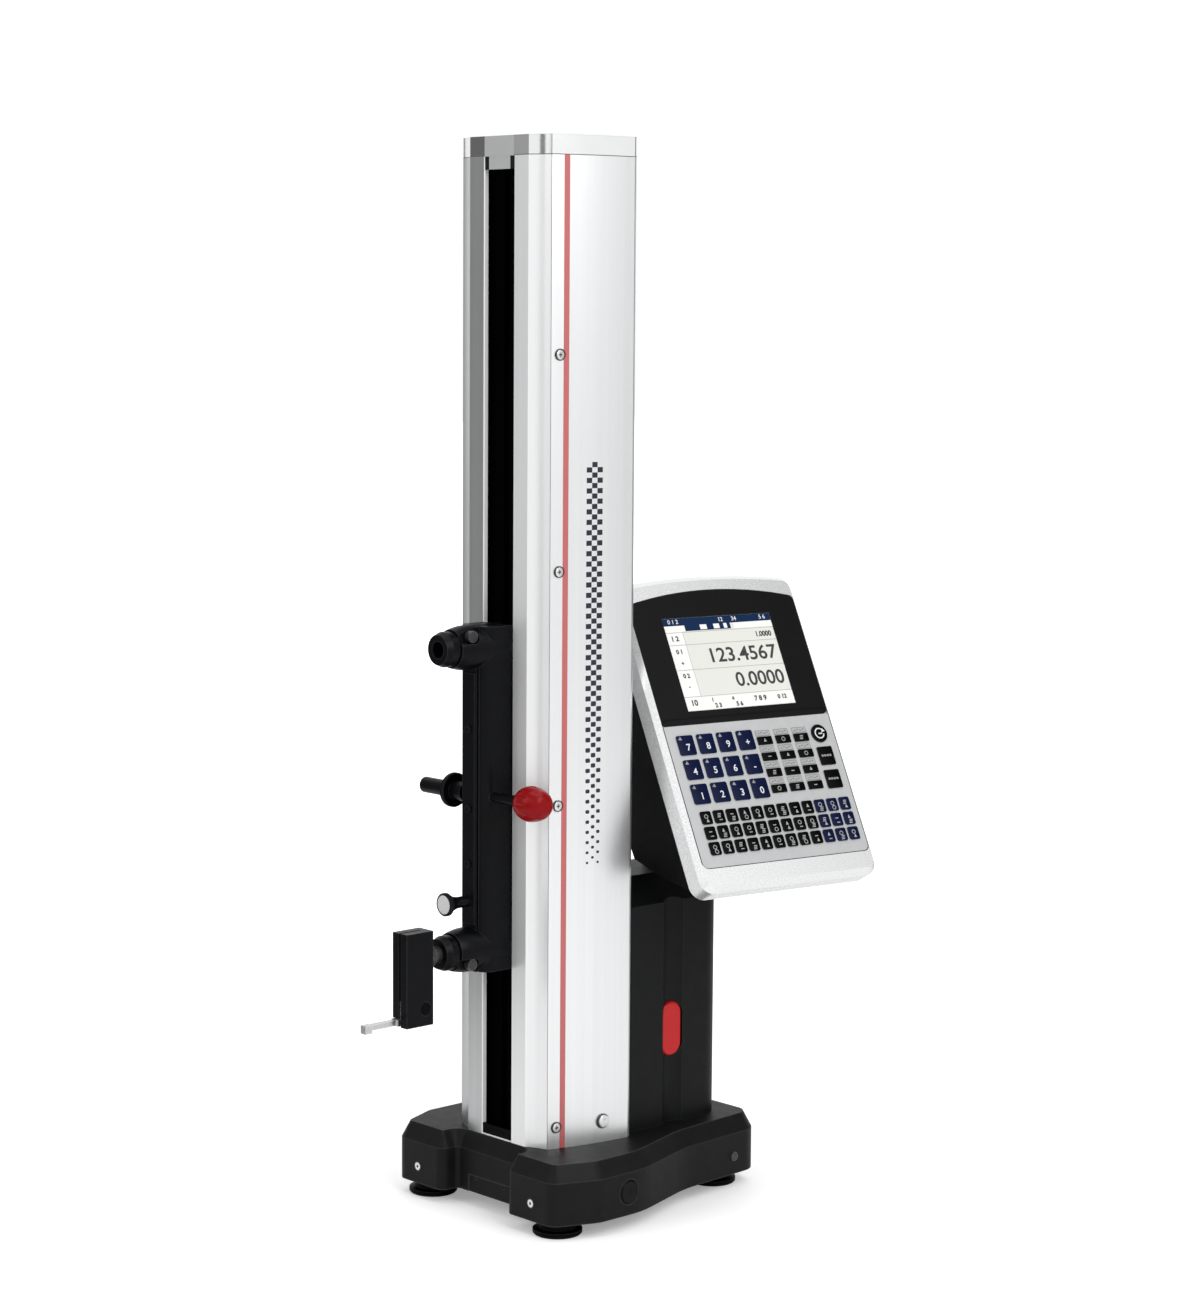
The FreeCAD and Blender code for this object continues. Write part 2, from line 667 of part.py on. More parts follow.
def column_screws():
    """Cover screws down both sides and one large fixing screw low on each side."""
    things = []
    for sign, axis in (("", "-x"), ("-", "x")):
        for height in SCREW_HEIGHTS:
            things.append(screw(("%s(%s + 2.2)" % (sign, SCREW_SEAT), SCREW_BACK, height),
                                axis, "5.2", "2.2", "2.4", "5"))
        things.append(rod(("%s(%s + 2.5)" % (sign, FIXING_SEAT), "67", "91"), axis, "6.9", "2.5"))
    return group("column_screws", things)


def column_outline():
    """Outline of the whole column, which the cap repeats."""
    turn_in = "cover_back_side - (column_back - cover_back)"
    right = [("strip_half", "0", "-flute_radius"), ("flute_end_side", "flute_end_back"),
             ("flute_end_side + 0.5", "flute_end_back + 0.2", "cover_bow"),
             ("cover_back_side", "cover_back", "cover_corner"), (turn_in, "column_back")]
    return right + mirrored(right + [("0", "column_back")])[1:]


def column_cap():
    """Cap plate with a tab that closes the top of the slot."""
    body = new_body("column_cap")
    pad(body, "top", COLUMN_TOP, COLUMN_TOP + " + cap_height", column_outline())
    pad(body, "top", COLUMN_TOP + " - 12", COLUMN_TOP + " + 1",
        rectangle("-(slot_half - seat_gap)", "0.6", "slot_half - seat_gap", "slot_reveal - 0.2"))


def slot_sill():
    return named("slot_sill", joined([block(("-(slot_half - seat_gap)", "0.6", COLUMN_FOOT),
                                            ("slot_half - seat_gap", "slot_reveal - 0.2",
                                             COLUMN_FOOT + " + 11")),
                                      block(("-(slot_half - 2)", "0.2", COLUMN_FOOT),
                                            ("slot_half - 2", "1", COLUMN_FOOT + " + 7"))]))


def slot_lips():
    """Two black sealing lips that leave a gap for the slider's neck."""
    front = FLANGE_BACK + " + 0.1"
    back = front + " + lip_thick"
    right = block(("lip_gap", front, COLUMN_FOOT), ("slot_half + 14", back, COLUMN_TOP))
    left = block(("-(slot_half + 14)", front, COLUMN_FOOT), ("-lip_gap", back, COLUMN_TOP))
    return group("slot_lips", [right, left])


# Drive inside the column

RAIL_LOW = COLUMN_FOOT + " + 20"
RAIL_HIGH = COLUMN_TOP + " - 20"
WALL = "frame_half - frame_wall"


def guide_rails():
    back = "rail_front + rail_depth"
    return group("guide_rails", [
        block(("%s - rail_thick" % WALL, "rail_front", RAIL_LOW), (WALL, back, RAIL_HIGH)),
        block(("-(%s)" % WALL, "rail_front", RAIL_LOW), ("-(%s) + rail_thick" % WALL, back, RAIL_HIGH))])


def linear_scale():
    """Glass scale in a stepped carrier."""
    carrier = block(("-(%s)" % WALL, "scale_front - 2", RAIL_LOW),
                    ("-(%s) + 2" % WALL, "scale_front + scale_depth + 2", RAIL_HIGH))
    glass = block(("-(%s)" % WALL, "scale_front", RAIL_LOW),
                  ("-(%s) + scale_thick" % WALL, "scale_front + scale_depth", RAIL_HIGH))
    return named("linear_scale", joined([carrier, glass]))


BELT_BORE = "pulley_radius + fit_gap"


def belt_half(play):
    """Filled belt loop between the pulleys, with a given radius at its ends."""
    half = "belt_width / 2"
    return joined([rod(("-" + half, "pulley_back", "pulley_low"), "x", play, "belt_width"),
                   rod(("-" + half, "pulley_back", "pulley_high"), "x", play, "belt_width"),
                   block(("-" + half, "pulley_back - (%s)" % play, "pulley_low"),
                         (half, "pulley_back + (%s)" % play, "pulley_high"))])


def belt():
    return named("drive_belt", less(belt_half(BELT_BORE + " + belt_thick"), [belt_half(BELT_BORE)]))


def pulley_outline(bore, reach):
    """Flanged pulley; reach is how far its shaft goes past it, along the axis."""
    half = "pulley_width / 2 + 0.8"
    rim = BELT_BORE + " + belt_thick + 1.3"
    groove = "belt_width / 2 + 0.4"
    outline = [(bore, "-(%s)" % half), (rim, "-(%s)" % half), (rim, "-(%s)" % groove),
               ("pulley_radius", "-(%s)" % groove), ("pulley_radius", groove), (rim, groove), (rim, half)]
    if reach:
        return outline + [("axle_radius", half), ("axle_radius", reach), (bore, reach)]
    return outline + [(bore, half)]


def pulleys():
    turned("upper_pulley", ("0", "pulley_back", "pulley_high"), "-x",
           pulley_outline("axle_radius + running_gap", ""))
    turned("drive_pulley", ("0", "pulley_back", "pulley_low"), "x", pulley_outline("0", "30"))
    return named("pulley_axle", joined([
        rod(("-(bracket_thick + 9)", "pulley_back", "pulley_high"), "x", "axle_radius",
            "2 * bracket_thick + 18"),
        rod(("-(bracket_thick + 10)", "pulley_back", "pulley_high"), "x", "axle_radius + 1.6", "2")]))


def bracket(label, height, bore):
    """Two cheeks on a plate against the channel's rear wall."""
    cheek = "pulley_width / 2 + 2"
    edge = cheek + " + bracket_thick"
    parts = [block((low, "pulley_back - 9", "%s - 11" % height), (high, CHANNEL_BACK, "%s + 11" % height))
             for low, high in ((cheek, edge), ("-(%s)" % edge, "-(%s)" % cheek))]
    plate = block(("-(%s)" % edge, CHANNEL_BACK + " - bracket_thick", "%s - 11" % height),
                  (edge, CHANNEL_BACK, "%s + 11" % height))
    hole = rod(("-30", "pulley_back", height), "x", bore, "60")
    return named(label, less(joined(parts + [plate]), [hole]))


def drive_motor():
    outline = [("axle_radius + running_gap", "0"), ("9", "0"), ("9", "2"), ("motor_radius", "2"),
               ("motor_radius", "motor_length - 4"), ("motor_radius - 3", "motor_length"), ("0", "motor_length"),
               ("0", "20"), ("axle_radius + running_gap", "20")]
    turned("drive_motor", ("pulley_width / 2 + bracket_thick + 2.2", "pulley_back", "pulley_low"), "x", outline)


WEIGHT_FRONT = CHANNEL_BACK + " - 2 - weight_depth"


def counterweight():
    """U-shaped iron block that straddles the rear run of the belt."""
    low = "weight_middle - weight_length / 2"
    high = "weight_middle + weight_length / 2"
    bulk = block(("-weight_half", WEIGHT_FRONT, low), ("weight_half", CHANNEL_BACK + " - 2", high))
    channel = block(("-(belt_width / 2 + 1.5)", WEIGHT_FRONT + " - 1", low + " - 1"),
                    ("belt_width / 2 + 1.5", "pulley_back + pulley_radius + belt_thick + 2 * fit_gap",
                     high + " + 1"))
    return named("counterweight", less(bulk, [channel]))


# Slider

CARRIAGE_LOW = "carriage_middle - carriage_length / 2"
CARRIAGE_HIGH = "carriage_middle + carriage_length / 2"
CARRIAGE_BACK = "carriage_front + carriage_depth"


def carriage():
    """Block on the guide rails, its neck through the slot and the belt clamp behind."""
    neck = block(("-neck_half", "slider_inset", CARRIAGE_LOW), ("neck_half", "carriage_front + 12", CARRIAGE_HIGH))
    bulk = block(("-carriage_half", "carriage_front", CARRIAGE_LOW),
                 ("carriage_half", CARRIAGE_BACK, CARRIAGE_HIGH))
    clamp = block(("-8", CARRIAGE_BACK + " - 1", "carriage_middle - 15"),
                  ("8", "pulley_back - pulley_radius - belt_thick - 2 * fit_gap", "carriage_middle + 15"))
    window = block(("-22", "carriage_front - 1", "carriage_middle - 34"),
                   ("22", "carriage_front + 9", "carriage_middle + 34"))
    return named("carriage", joined([less(bulk, [window]), neck, clamp]))


def carriage_bearings():
    """Four shoes that grip the rails."""
    shoes = []
    for sign in ("", "-"):
        for height in ("carriage_middle - 36", "carriage_middle + 36"):
            near = "carriage_half"
            far = WALL + " - 0.5"
            slot = WALL + " - rail_thick - fit_gap"
            low = height + " - 15"
            high = height + " + 15"
            sides = (near, far) if not sign else ("-(%s)" % far, "-(%s)" % near)
            cuts = (slot, far + " + 1") if not sign else ("-(%s) - 1" % far, "-(%s)" % slot)
            shoe = block((sides[0], "rail_front - 5", low), (sides[1], "rail_front + rail_depth + 5", high))
            channel = block((cuts[0], "rail_front - fit_gap", low + " - 1"),
                            (cuts[1], "rail_front + rail_depth + fit_gap", high + " + 1"))
            shoes.append(less(shoe, [channel]))
    return group("carriage_bearings", shoes)


def reading_head():
    return named("reading_head", block(
        ("-(%s) + scale_thick + fit_gap" % WALL, CARRIAGE_BACK, "carriage_middle - 22"),
        ("-30", CARRIAGE_BACK + " + 13", "carriage_middle + 22")))


def beam_outline():
    """Beam section: flat front between two grooves and rounded shoulders."""
    side = "slider_half"
    face = "slider_face_half"
    return [(side, "-fit_gap"), ("-" + side, "-fit_gap"),
            ("-" + side, "-(slider_front - 13)", "shoulder_radius"),
            ("-(%s + 1.7)" % face, "-(slider_front - 1.7)"),
            ("-(%s + 1.7)" % face, "-(slider_front - 2.8)"), ("-" + face, "-(slider_front - 2.8)"),
            ("-" + face, "-slider_front"), (face, "-slider_front"), (face, "-(slider_front - 2.8)"),
            ("%s + 1.7" % face, "-(slider_front - 2.8)"),
            ("%s + 1.7" % face, "-(slider_front - 1.7)", "shoulder_radius"), (side, "-(slider_front - 13)")]


def add_boss(body, height):
    """Clamp boss turned about an axis that points to the front."""
    sketch = new_sketch(body, "side", "0")
    add_outline(sketch, [("-0.5", height), ("-0.5", "%s + boss_radius" % height),
                         ("-(slider_front + 4)", "%s + boss_radius" % height, "60"),
                         ("-boss_length", "%s + boss_tip_radius" % height), ("-boss_length", height)])
    axis = sketch.addGeometry(Part.LineSegment(Vector(0, value(height), 0), Vector(-10, value(height), 0)), True)
    hold_point(sketch, axis, 1, ("0", height))
    hold_point(sketch, axis, 2, ("-10", height))
    feature = body.newObject("PartDesign::Revolution", body.Label + "_boss")
    feature.Profile = sketch
    feature.ReferenceAxis = (sketch, ["Axis0"])
    feature.Angle = 360


def clamp_screw_heights():
    return ["upper_boss + clamp_screw_rise", "lower_boss - clamp_screw_rise"]


def slider_beam():
    """Black beam with a clamp boss at each end."""
    body = new_body("slider_beam")
    pad(body, "top", "slider_low", "slider_high", beam_outline())
    pad(body, "top", "slider_low + 22", "slider_high - 33",
        rectangle("-slider_half", "-1", "slider_half", "slider_inset"))
    for height in ("upper_boss", "lower_boss"):
        add_boss(body, height)
    pocket(body, "front", "-(boss_length + 1)", "-clamp_bore_end",
           ("0", "upper_boss", "clamp_bore"), ("0", "lower_boss", "clamp_bore"))
    for height in clamp_screw_heights():
        pocket(body, "side", "11", "boss_radius + 2", ("-clamp_screw_front", height, "clamp_screw_radius + 0.8"))
        pocket(body, "side", "11", "boss_radius + 2",
               rectangle("-(boss_length + 1)", "%s - clamp_screw_radius - 0.8" % height,
                         "-clamp_screw_front", "%s + clamp_screw_radius + 0.8" % height))
    pocket(body, "side", "6", "slider_half + 1", ("-rod_front", "rod_height", "shaft_radius + running_gap"))
    pocket(body, "front", "-(slider_front + 1)", "-(slider_front - 14)",
           ("0", "lock_height", "3 + running_gap"))
    return body


def slider_cover():
    """Cover plate down the beam's front, with its screws standing proud."""
    body = new_body("slider_cover")
    pad(body, "front", "-(slider_front + 1.6)", "-slider_front", rectangle(
        "-(slider_face_half - 1)", "lower_boss + boss_radius + 3", "slider_face_half - 1",
        "upper_boss - boss_radius - 3"))
    pocket(body, "front", "-(slider_front + 2)", "-(slider_front - 1)", ("0", "lock_height", "6.2"))


def slider_screws():
    return group("slider_screws", [
        rod(("0", "-(slider_front + 1.6)", height), "-y", "3.4", "1.6") for height in ("340", "392", "467")])


def boss_collars():
    outline = [("clamp_bore", "0"), ("collar_radius - 1", "0"), ("collar_radius", "2"), ("collar_radius", "9"),
               ("collar_radius - 2.4", "collar_end - boss_length"), ("clamp_bore", "collar_end - boss_length")]
    return group("boss_collars", [loose(turned("collar", ("0", "-boss_length", height), "-y", outline))
                                  for height in ("upper_boss", "lower_boss")])


def boss_clamp_screws():
    return group("boss_clamp_screws", [
        rod(("11", "-clamp_screw_front", height), "x", "clamp_screw_radius", "5.5")
        for height in clamp_screw_heights()])


def handle_rod():
    """Black rod handle with a finger flange."""
    near = "flange_side - flange_thick / 2"
    far = "flange_side + flange_thick / 2"
    outline = [("0", "slider_half"), ("rod_radius + 1.4", "slider_half"), ("rod_radius + 1.4", near),
               ("flange_radius - 1", near), ("flange_radius", near + " + 1"), ("flange_radius", far + " - 1"),
               ("flange_radius - 1", far), ("rod_radius", far), ("rod_radius", "rod_end - 2"),
               ("rod_radius - 2", "rod_end"), ("0", "rod_end")]
    turned("handle_rod", ("0", "-rod_front", "rod_height"), "-x", outline)


def drive_knob():
    """Egg-shaped red knob with finger flutes, on a steel shaft."""
    body = turned("drive_knob", ("0", "-rod_front", "rod_height"), "x", [
        ("0", "drive_knob_near"), ("drive_knob_radius - 5.6", "drive_knob_near", "22"),
        ("drive_knob_radius", "drive_knob_near + 13", "34"),
        ("drive_knob_radius - 3.4", "drive_knob_far - 6", "10"),
        ("drive_knob_radius - 11", "drive_knob_far"), ("0", "drive_knob_far")])
    flutes = []
    for number in range(12):
        reach = "(drive_knob_radius + 3 - drive_knob_dish)"
        flutes.append(("%s * cos(%d)" % (reach, number * 30), "%s * sin(%d)" % (reach, number * 30), "3"))
    pocket(body, "top", "drive_knob_near + 4", "drive_knob_far - 5", *flutes)
    turned("knob_shaft", ("0", "-rod_front", "rod_height"), "x", [
        ("0", "6.3"), ("shaft_radius", "6.3"), ("shaft_radius", "drive_knob_near - seat_gap"),
        ("0", "drive_knob_near - seat_gap")])


def lock_knob():
    """Trumpet-shaped lock knob with a bright face disc and a threaded stud."""
    stud = "slider_front - 13"
    turned("lock_knob", ("0", "0", "lock_height"), "-y", [
        ("0", stud), ("3", stud), ("3", "slider_front + 2"), ("lock_stem", "slider_front + 2"),
        ("lock_stem", "slider_front + 12", "-22"), ("lock_radius", "lock_end - 4"),
        ("lock_radius", "lock_end - 1"), ("lock_radius - 1", "lock_end"), ("lock_radius - 2", "lock_end"),
        ("lock_radius - 2", "lock_end - 1.2"), ("0", "lock_end - 1.2")])
    turned("lock_knob_face", ("0", "0", "lock_height"), "-y", [
        ("0", "lock_end - 1.2"), ("lock_radius - 2.1", "lock_end - 1.2"), ("lock_radius - 2.1", "lock_end - 0.3"),
        ("0", "lock_end - 0.1")])


# Probe

def probe_holder():
    """Slit block that clamps the stylus, its left jaw shorter than the right."""
    body = new_body("probe_holder")
    pad(body, "top", "holder_low", "holder_high",
        rectangle("-holder_half", "-holder_far", "holder_half", "-holder_near"))
    pocket(body, "top", "holder_low - 1", "holder_high + 1",
           rectangle("-holder_slit", "-(holder_far + 1)", "holder_slit", "-(holder_near + 7)"))
    pocket(body, "top", "holder_low - 1", "holder_low + 8",
           rectangle("-(holder_half + 1)", "-(holder_far + 1)", "holder_slit", "-(holder_near + 7)"))
    pocket(body, "side", "holder_half - 2.6", "holder_half + 1",
           ("-(holder_near + 9.4)", "holder_screw_height", "holder_screw_radius + 0.3"))
    pocket(body, "side", "-(holder_half + 1)", "holder_half + 1",
           ("-(holder_near + 9.4)", "holder_screw_height", "2.7"))
    return body


def probe_shaft():
    """Shaft that the lower clamp boss grips."""
    turned("probe_shaft", ("0", "0", "lower_boss"), "-y", [
        ("0", "clamp_bore_end + 2"), ("clamp_bore - running_gap - 1", "clamp_bore_end + 2"),
        ("clamp_bore - running_gap", "clamp_bore_end + 3"), ("clamp_bore - running_gap", "holder_near - 6"),
        ("clamp_bore + 2.2", "holder_near - 5"), ("clamp_bore + 2.2", "holder_near"), ("0", "holder_near")])


def holder_screw():
    return named("holder_screw", screw(
        ("holder_half + 0.6", "-(holder_near + 9.4)", "holder_screw_height"), "-x",
        "holder_screw_radius", "3", "2.5", "2 * holder_half - 4"))


def stylus():
    """Flat arm under the short jaw, its tab clamped in the slit, with a squared tip."""
    low = "holder_low + 2"
    high = low + " + stylus_height"
    arm = block(("-7", "-(stylus_tip - 6)", low), ("-1", "-(holder_near + 9)", high))
    root = block(("-8.6", "-(holder_far + 3)", low + " - 0.6"), ("1", "-(holder_near + 8)", high + " + 0.7"))
    tab = block(("-(holder_slit - 0.2)", "-(holder_far - 1)", low), ("holder_slit - 0.2", "-(holder_near + 8)",
                                                                     "holder_screw_height + 8"))
    tip = block(("-7.6", "-stylus_tip", low + " - 2.6"), ("-0.4", "-(stylus_tip - 8)", high + " + 0.2"))
    hole = rod(("-5", "-(holder_near + 9.4)", "holder_screw_height"), "x", "2.8", "10")
    return named("stylus", less(joined([arm, root, tab, tip]), [hole]))


# Grip housing

def housing():
    """Moulded housing with a ridged roof, a finger flute down each side and a battery door opening."""
    body = new_body("grip_housing")
    front = "column_back + seat_gap"
    pad(body, "top", COLUMN_FOOT, "housing_top",
        rectangle("-housing_half", front, "housing_half", "housing_back"))
    round_corners(body, "housing_corner", both_sides("housing_half", "housing_back"))
    slope = [("housing_roof_half", "housing_top"), ("housing_half + 1", "housing_top - housing_roof_drop"),
             ("housing_half + 1", "housing_top + 1"), ("housing_roof_half", "housing_top + 1")]
    pocket(body, "front", front, "housing_back", slope)
    pocket(body, "front", front, "housing_back", mirrored(slope))
    flute = "housing_half + grip_flute_radius - grip_flute_depth"
    pocket(body, "top", COLUMN_FOOT, "housing_top", *[
        (side, back, "grip_flute_radius") for side, back in both_sides(flute, "grip_flute_middle")])
    inner = "housing_half - housing_wall - 2"
    pocket(body, "top", COLUMN_FOOT, "housing_top - 26",
           rectangle("-(%s)" % inner, front + " + housing_wall", inner, "housing_back - housing_wall"))
    hole = rectangle("grip_flute_middle - button_half - fit_gap", "button_low - fit_gap",
                     "grip_flute_middle + button_half + fit_gap", "button_high + fit_gap")
    pocket(body, "side", "housing_half - housing_wall - 3", "housing_half + 1", hole)
    round_corners(body, "button_half - 0.2", [(back, height) for back, height in hole], axis=0)
    pocket(body, "front", "housing_back - door_thick", "housing_back + 1",
           rectangle("-door_half", "door_low", "door_half", "door_high"))
    pocket(body, "front", "housing_back - housing_wall - 1", "housing_back",
           rectangle("-(door_half - 4)", "door_low + 4", "door_half - 4", "door_high - 4"))
    pocket(body, "top", "housing_top - 27", "housing_top + 1", ("0", "post_back", "post_radius + seat_gap"))
    return body


def battery_door():
    body = new_body("battery_door")
    pad(body, "front", "housing_back - door_thick + seat_gap", "housing_back",
        rectangle("-(door_half - seat_gap)", "door_low + seat_gap", "door_half - seat_gap",
                  "door_high - seat_gap"))
    pocket(body, "front", "housing_back - 1.2", "housing_back + 1",
           rectangle("-9", "door_high - 14", "9", "door_high - 8"))


def housing_contents():
    """Battery pack and air pump on the base's top, and the guide that holds the air button."""
    floor = COLUMN_FOOT
    named("battery_pack", joined([
        block(("-32", "housing_back - 49", floor), ("32", "housing_back - 10", "205")),
        block(("-14", "housing_back - 43", "204"), ("14", "housing_back - 20", "209"))]))
    named("air_pump", joined([
        block(("-50", "column_back + 10", floor), ("30", "column_back + 42", floor + " + 34")),
        rod(("-30", "column_back + 26", floor + " + 33"), "z", "13", "30"),
        rod(("8", "column_back + 26", floor + " + 33"), "z", "13", "30")]))
    wall = "housing_half - housing_wall - 2"
    shell = block(("%s - 20" % wall, "grip_flute_middle - button_half - 4", "button_low - 4"),
                  (wall, "grip_flute_middle + button_half + 4", "button_high + 4"))
    well = block(("%s - 16" % wall, "grip_flute_middle - button_half - fit_gap", "button_low - fit_gap"),
                 ("%s + 1" % wall, "grip_flute_middle + button_half + fit_gap", "button_high + fit_gap"))
    named("button_guide", less(shell, [well]))


def air_button():
    """Oblong red button in the flute."""
    body = new_body("air_button")
    inner_end = "housing_half - housing_wall - 18 + button_travel + fit_gap"
    outer_end = "housing_half - grip_flute_depth + button_proud"
    shape = rectangle("grip_flute_middle - button_half", "button_low", "grip_flute_middle + button_half",
                      "button_high")
    pad(body, "side", inner_end, outer_end, shape)
    round_corners(body, "button_half - 0.4", shape, axis=0)
    end = value(outer_end)
    dress(body, "Fillet", "2.4", lambda middle, ends: abs(middle.x - end) < 1e-4)


def swivel_post():
    """Post through the roof, with a nut below and the collar that the head turns on."""
    named("swivel_post", joined([
        rod(("0", "post_back", "housing_top - 31"), "z", "post_radius", "post_top - housing_top + 31"),
        rod(("0", "post_back", "housing_top - 31"), "z", "post_radius + 6", "4.8")]))
    named("swivel_collar", less(rod(("0", "post_back", "neck_low - 6 - fit_gap"), "z", "post_radius + 8", "6"),
                                [rod(("0", "post_back", "neck_low - 8"), "z", "post_radius", "10")]))


# Display head

def on_head(piece):
    """Place a piece whose X runs along the display, Y up it and Z out of the screen."""
    piece.Placement = Placement(Vector(0, 0, 0), Rotation(Vector(0, 0, 1), -value("head_yaw"))
                                * Rotation(Vector(0, 1, 0), -value("head_tilt"))
                                * Rotation(Vector(1, 1, 1), 120))
    bind(piece, "Placement.Base.x", "screen_out * cos(head_yaw) + screen_along * sin(head_yaw)")
    bind(piece, "Placement.Base.y", "post_back - screen_out * sin(head_yaw) + screen_along * cos(head_yaw)")
    bind(piece, "Placement.Base.z", "screen_height")
    return piece


def arched(half, low, high, arch):
    """Upright outline with an arched top edge."""
    return [("-(%s)" % half, "-(%s)" % low), (half, "-(%s)" % low), (half, high, arch), ("-(%s)" % half, high)]


def display_frame():
    """Cast silver tray that holds the bezel and the keypad, with an arched top."""
    body = new_body("display_frame")
    outline = arched("panel_half", "panel_low", "panel_high", "panel_arch")
    pad(body, "top", "-panel_deep", "0", outline)
    round_corners(body, "panel_corner", [(p[0], p[1]) for p in outline])
    dress(body, "Chamfer", "panel_bevel", lambda middle, ends: abs(middle.z) < 1e-4)
    pocket(body, "top", "-tray_deep", "1", arched("tray_half", "tray_low", "tray_high", "tray_arch"))
    round_corners(body, "tray_corner", both_sides("tray_half", "-tray_low") + both_sides("tray_half", "tray_high"))
    pocket(body, "top", "-(tray_deep + frame_skin)", "0",
           rectangle("-(screen_width / 2 - 1)", "-(screen_tall / 2 - 1)", "screen_width / 2 - 1",
                     "screen_tall / 2 - 1"))
    pocket(body, "top", "-(panel_deep + 1)", "-(tray_deep + frame_skin)",
           rectangle("-(panel_half - 7)", "-(panel_low - 9)", "panel_half - 7", "panel_high - 9"))
    on_head(body)


PLATE_LOW = "-(tray_deep - 0.1)"
PLATE_HIGH = "-(tray_deep - 0.1 - bezel_thick)"


def bezel():
    body = new_body("display_bezel")
    pad(body, "top", PLATE_LOW, PLATE_HIGH,
        arched("tray_half - seat_gap", "bezel_low", "tray_high - seat_gap", "tray_arch"))
    pocket(body, "top", PLATE_LOW + " - 1", PLATE_HIGH + " + 1",
           rectangle("-screen_width / 2", "-screen_tall / 2", "screen_width / 2", "screen_tall / 2"))
    round_corners(body, "tray_corner", both_sides("tray_half - seat_gap", "-bezel_low")
                  + both_sides("tray_half - seat_gap", "tray_high - seat_gap"))
    on_head(body)


def screen_glass():
    body = new_body("screen_glass")
    edge = "(screen_width / 2 - seat_gap)"
    tall = "(screen_tall / 2 - seat_gap)"
    pad(body, "top", PLATE_LOW, PLATE_HIGH + " - 0.5", rectangle("-" + edge, "-" + tall, edge, tall))
    on_head(body)


def key_block(across, up, width, height):
    """A raised pad on the keypad sheet, by its middle."""
    return block(("%s - %s / 2" % (across, width), "%s - %s / 2" % (up, height), PLATE_HIGH + " - 0.5"),
                 ("%s + %s / 2" % (across, width), "%s + %s / 2" % (up, height), PLATE_HIGH + " + pad_raise"))


def keypad_sheet():
    """One moulded sheet with its raised keys: numbers, functions, commands and letters."""
    keys = []
    for row in range(3):
        for column in range(4):
            keys.append(key_block("(-77.9 + %d * 23.1)" % column, "(-81.8 - %d * 24.6)" % row, "18.5", "19.5"))
        for column in range(12):
            keys.append(key_block("(-79.2 + %d * 14.9)" % column, "(-154.8 - %d * 15.3)" % row, "12", "12.6"))
    for row in range(4):
        for column in range(3):
            keys.append(key_block("(13.4 + %d * 21.8)" % column, "(-84 - %d * 16.4)" % row, "17", "8"))
    keys.append(key_block("80.2", "-105", "17.5", "18.5"))
    keys.append(key_block("80.2", "-129", "17.5", "18.5"))
    keys.append(rod(("79.6", "-81.7", PLATE_HIGH + " - 0.5"), "z", "9", "0.5 + pad_raise"))
    edge = "tray_half - seat_gap"
    foot = "tray_low - seat_gap"
    plate = [block(("-(%s)" % edge, "tray_corner - (%s)" % foot, PLATE_LOW),
                   (edge, "-(bezel_low + seat_gap)", PLATE_HIGH)),
             block(("tray_corner - (%s)" % edge, "-(%s)" % foot, PLATE_LOW),
                   ("%s - tray_corner" % edge, "tray_corner + 1 - (%s)" % foot, PLATE_HIGH))]
    plate += [rod((side, "tray_corner - (%s)" % foot, PLATE_LOW), "z", "tray_corner", "bezel_thick")
              for side in ("%s - tray_corner" % edge, "tray_corner - (%s)" % edge)]
    on_head(named("keypad_sheet", joined(plate + keys)))


def screen_module():
    """Screen module on the back of the frame's front wall, with the circuit board behind it."""
    back = "-(tray_deep + frame_skin + 6)"
    on_head(named("screen_module", joined([
        block(("-72", "-56", back), ("72", "56", "-(tray_deep + frame_skin + 0.1)")),
        block(("-62", "-46", "-(tray_deep + frame_skin + 1)"), ("62", "46", "-(tray_deep + 0.2)"))])))
    board = "-(tray_deep + frame_skin + 7.8)"
    on_head(named("circuit_board", joined([
        block(("-90", "-205", board), ("90", "66", back + " - 0.1")),
        block(("-60", "-190", board + " - 3"), ("-20", "-150", board + " + 0.5")),
        block(("10", "-120", board + " - 4"), ("40", "-90", board + " + 0.5")),
        block(("-80", "-60", board + " - 6"), ("-50", "-20", board + " + 0.5"))])))


def back_plane(along):
    """A point on the back of the display frame, out from the post and up, at a distance up the display."""
    depth = "(panel_deep + seat_gap)"
    return ("screen_out - (%s) * sin(head_tilt) - %s * cos(head_tilt)" % (along, depth),
            "screen_height + (%s) * cos(head_tilt) - %s * sin(head_tilt)" % (along, depth))


def rear_edge(middle, ends, ends_at, corners):
    """An edge of the shell's back: along one of its four corners, or between two of them at either end."""
    near = [sum(math.hypot(end.x - side, end.z - up) < 1e-3 for side, up in corners) for end in ends]
    return all(near) and (abs(ends[0].y - ends[1].y) > 1 or min(abs(middle.y - y) for y in ends_at) < 1e-3)


